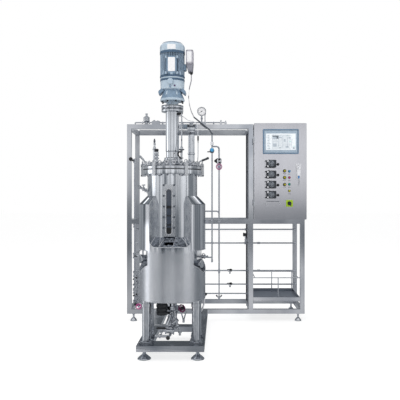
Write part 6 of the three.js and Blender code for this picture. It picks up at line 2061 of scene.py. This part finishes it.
SELECTORS = [f"selector_{i}" for i in (1, 2, 3)]
sel_x = middle("selector_1").x
bases, labels = bmesh.new(), bmesh.new()
for i, name in enumerate(SELECTORS):
    z = middle(name).z
    lathe(bases, soften([(0, 0), (15, 0), (15, 6), (13.5, 7.2), (0, 7.2)], 0.8), (sel_x, 0, z), FRONT_WAY, 32)
    block(labels, (sel_x - 14, -1, z - 30), (sel_x + 14, 0.2, z - 18), 0.4, 1)
    grip(f"selector_grip_{i + 1}", name, door_y - 7.3, 8.6, 14, 30, YELLOW, name)
on_door("selector_bases", bases, BLACK, slot="dark_plastic")
on_door("selector_labels", labels, BOX_GREY, slot="white_plastic")
LAMP_X = 652
LAMPS = {"blue": (1345, BLUE_LAMP), "magenta": (1289, MAGENTA_LAMP), "green": (1229, GREEN_LAMP),
         "yellow": (1171, YELLOW_LAMP)}
collars, labels = bmesh.new(), bmesh.new()
for name, (z, finish) in LAMPS.items():
    collar = soften([(8.5, 0), (12, 0), (12, 4), (10.8, 6.5), (8.5, 6.5), (8.5, 0)], 0.8)
    lathe(collars, collar, (LAMP_X, 0, z), FRONT_WAY, 36)
    block(labels, (LAMP_X - 11, -0.9, z - 29), (LAMP_X + 11, 0.2, z - 23), 0.3, 1)
    dome = bmesh.new()
    arc = [(9.8 * math.cos(t), 9 + 9 * math.sin(t)) for t in (math.pi / 2 * k / 8 for k in range(8))]
    lathe(dome, [(0, 2), (9.8, 2), *arc, (0, 18)], (LAMP_X, 0, z), FRONT_WAY, 36)
    on_door(f"lamp_{name}", dome, finish)
on_door("lamp_collars", collars, SHADED)
on_door("lamp_labels", labels, BOX_DARK, slot="dark_plastic")
switch = middle("main_switch_knob")
work = bmesh.new()
panel(work, (switch.x - 30, switch.z - 30), (switch.x + 30, switch.z + 30), 4, -5, 0.2, 1.2, steps=4)
on_door("switch_plate", work, LIME)
grip("switch_grip", "main_switch_knob", door_y - 5.3, 17, 14, 34, NAVY, "main_switch", 160, 1.6)
# %% Hang the lock handle
LOCK = {"at": (middle("lock_handle").x, door_y, 1340), "body": "lock"}
work = bmesh.new()
panel(work, (-21, -70), (21, 70), 9, -7, 0.2, 2, 3)
piece("lock_base", work, PEARL, at=LOCK["at"], body="door")
work = bmesh.new()
panel(work, (-13, -62), (13, 40), 10, -26, -10.5, 3, 3)
bar(work, (0, -7.3, 36), (0, -29.5, 36), 16.8, 40, 2)
piece("lock_lever", work, PEARL, solid="lock_handle", **LOCK)
work = bmesh.new()
bar(work, (0, -25, 36), (0, -30, 36), 7, 28, 0.8)
bar(work, (0, -25, -44), (0, -28, -44), 9, 28, 0.8)
piece("lock_barrel", work, BUFFED, **LOCK)
work = bmesh.new()
panel(work, (-7, -62), (7, -36), 6, -34, -30, 1.2, steps=5)
bar(work, (0, -27, -44), (0, -31, -44), 3, 16, 0.4)
piece("lock_key", work, KEY_BLUE, **LOCK)
work = bmesh.new()
block(work, (-7, -27.2, 54), (7, -24, 57.5), 0.6)
piece("lock_mark", work, SHADED, **LOCK)
work = bmesh.new()
tube(work, [(0, -32, -60), (4, -31, -76), (5, -28, -92), (2, -28, -120)], 1.1, 8, 8)
piece("key_tag", work, SHADED, **LOCK)
print("lock at", round(LOCK["at"][0]), LOCK["at"][2])
# %% [markdown]
# ## Even out the shading
# A bevelled flat face shades as if it bulged, because its corner normals lean towards the bevel. Weighting
# each normal by the area of its faces keeps big faces flat and lets only the rounded edges turn the light.
# %% Weight the normals
made = [obj for obj in scene.objects if obj.type == "MESH" and obj.name not in nodes
        and len(obj.data.polygons) > 1]
for obj in made:
    obj.modifiers.new("area weights", "WEIGHTED_NORMAL").keep_sharp = True
graph = bpy.context.evaluated_depsgraph_get()
evened = [bpy.data.meshes.new_from_object(obj.evaluated_get(graph)) for obj in made]
for obj, mesh in zip(made, evened):
    obj.modifiers.clear()
    obj.data = mesh
print("evened", len(made), "meshes")
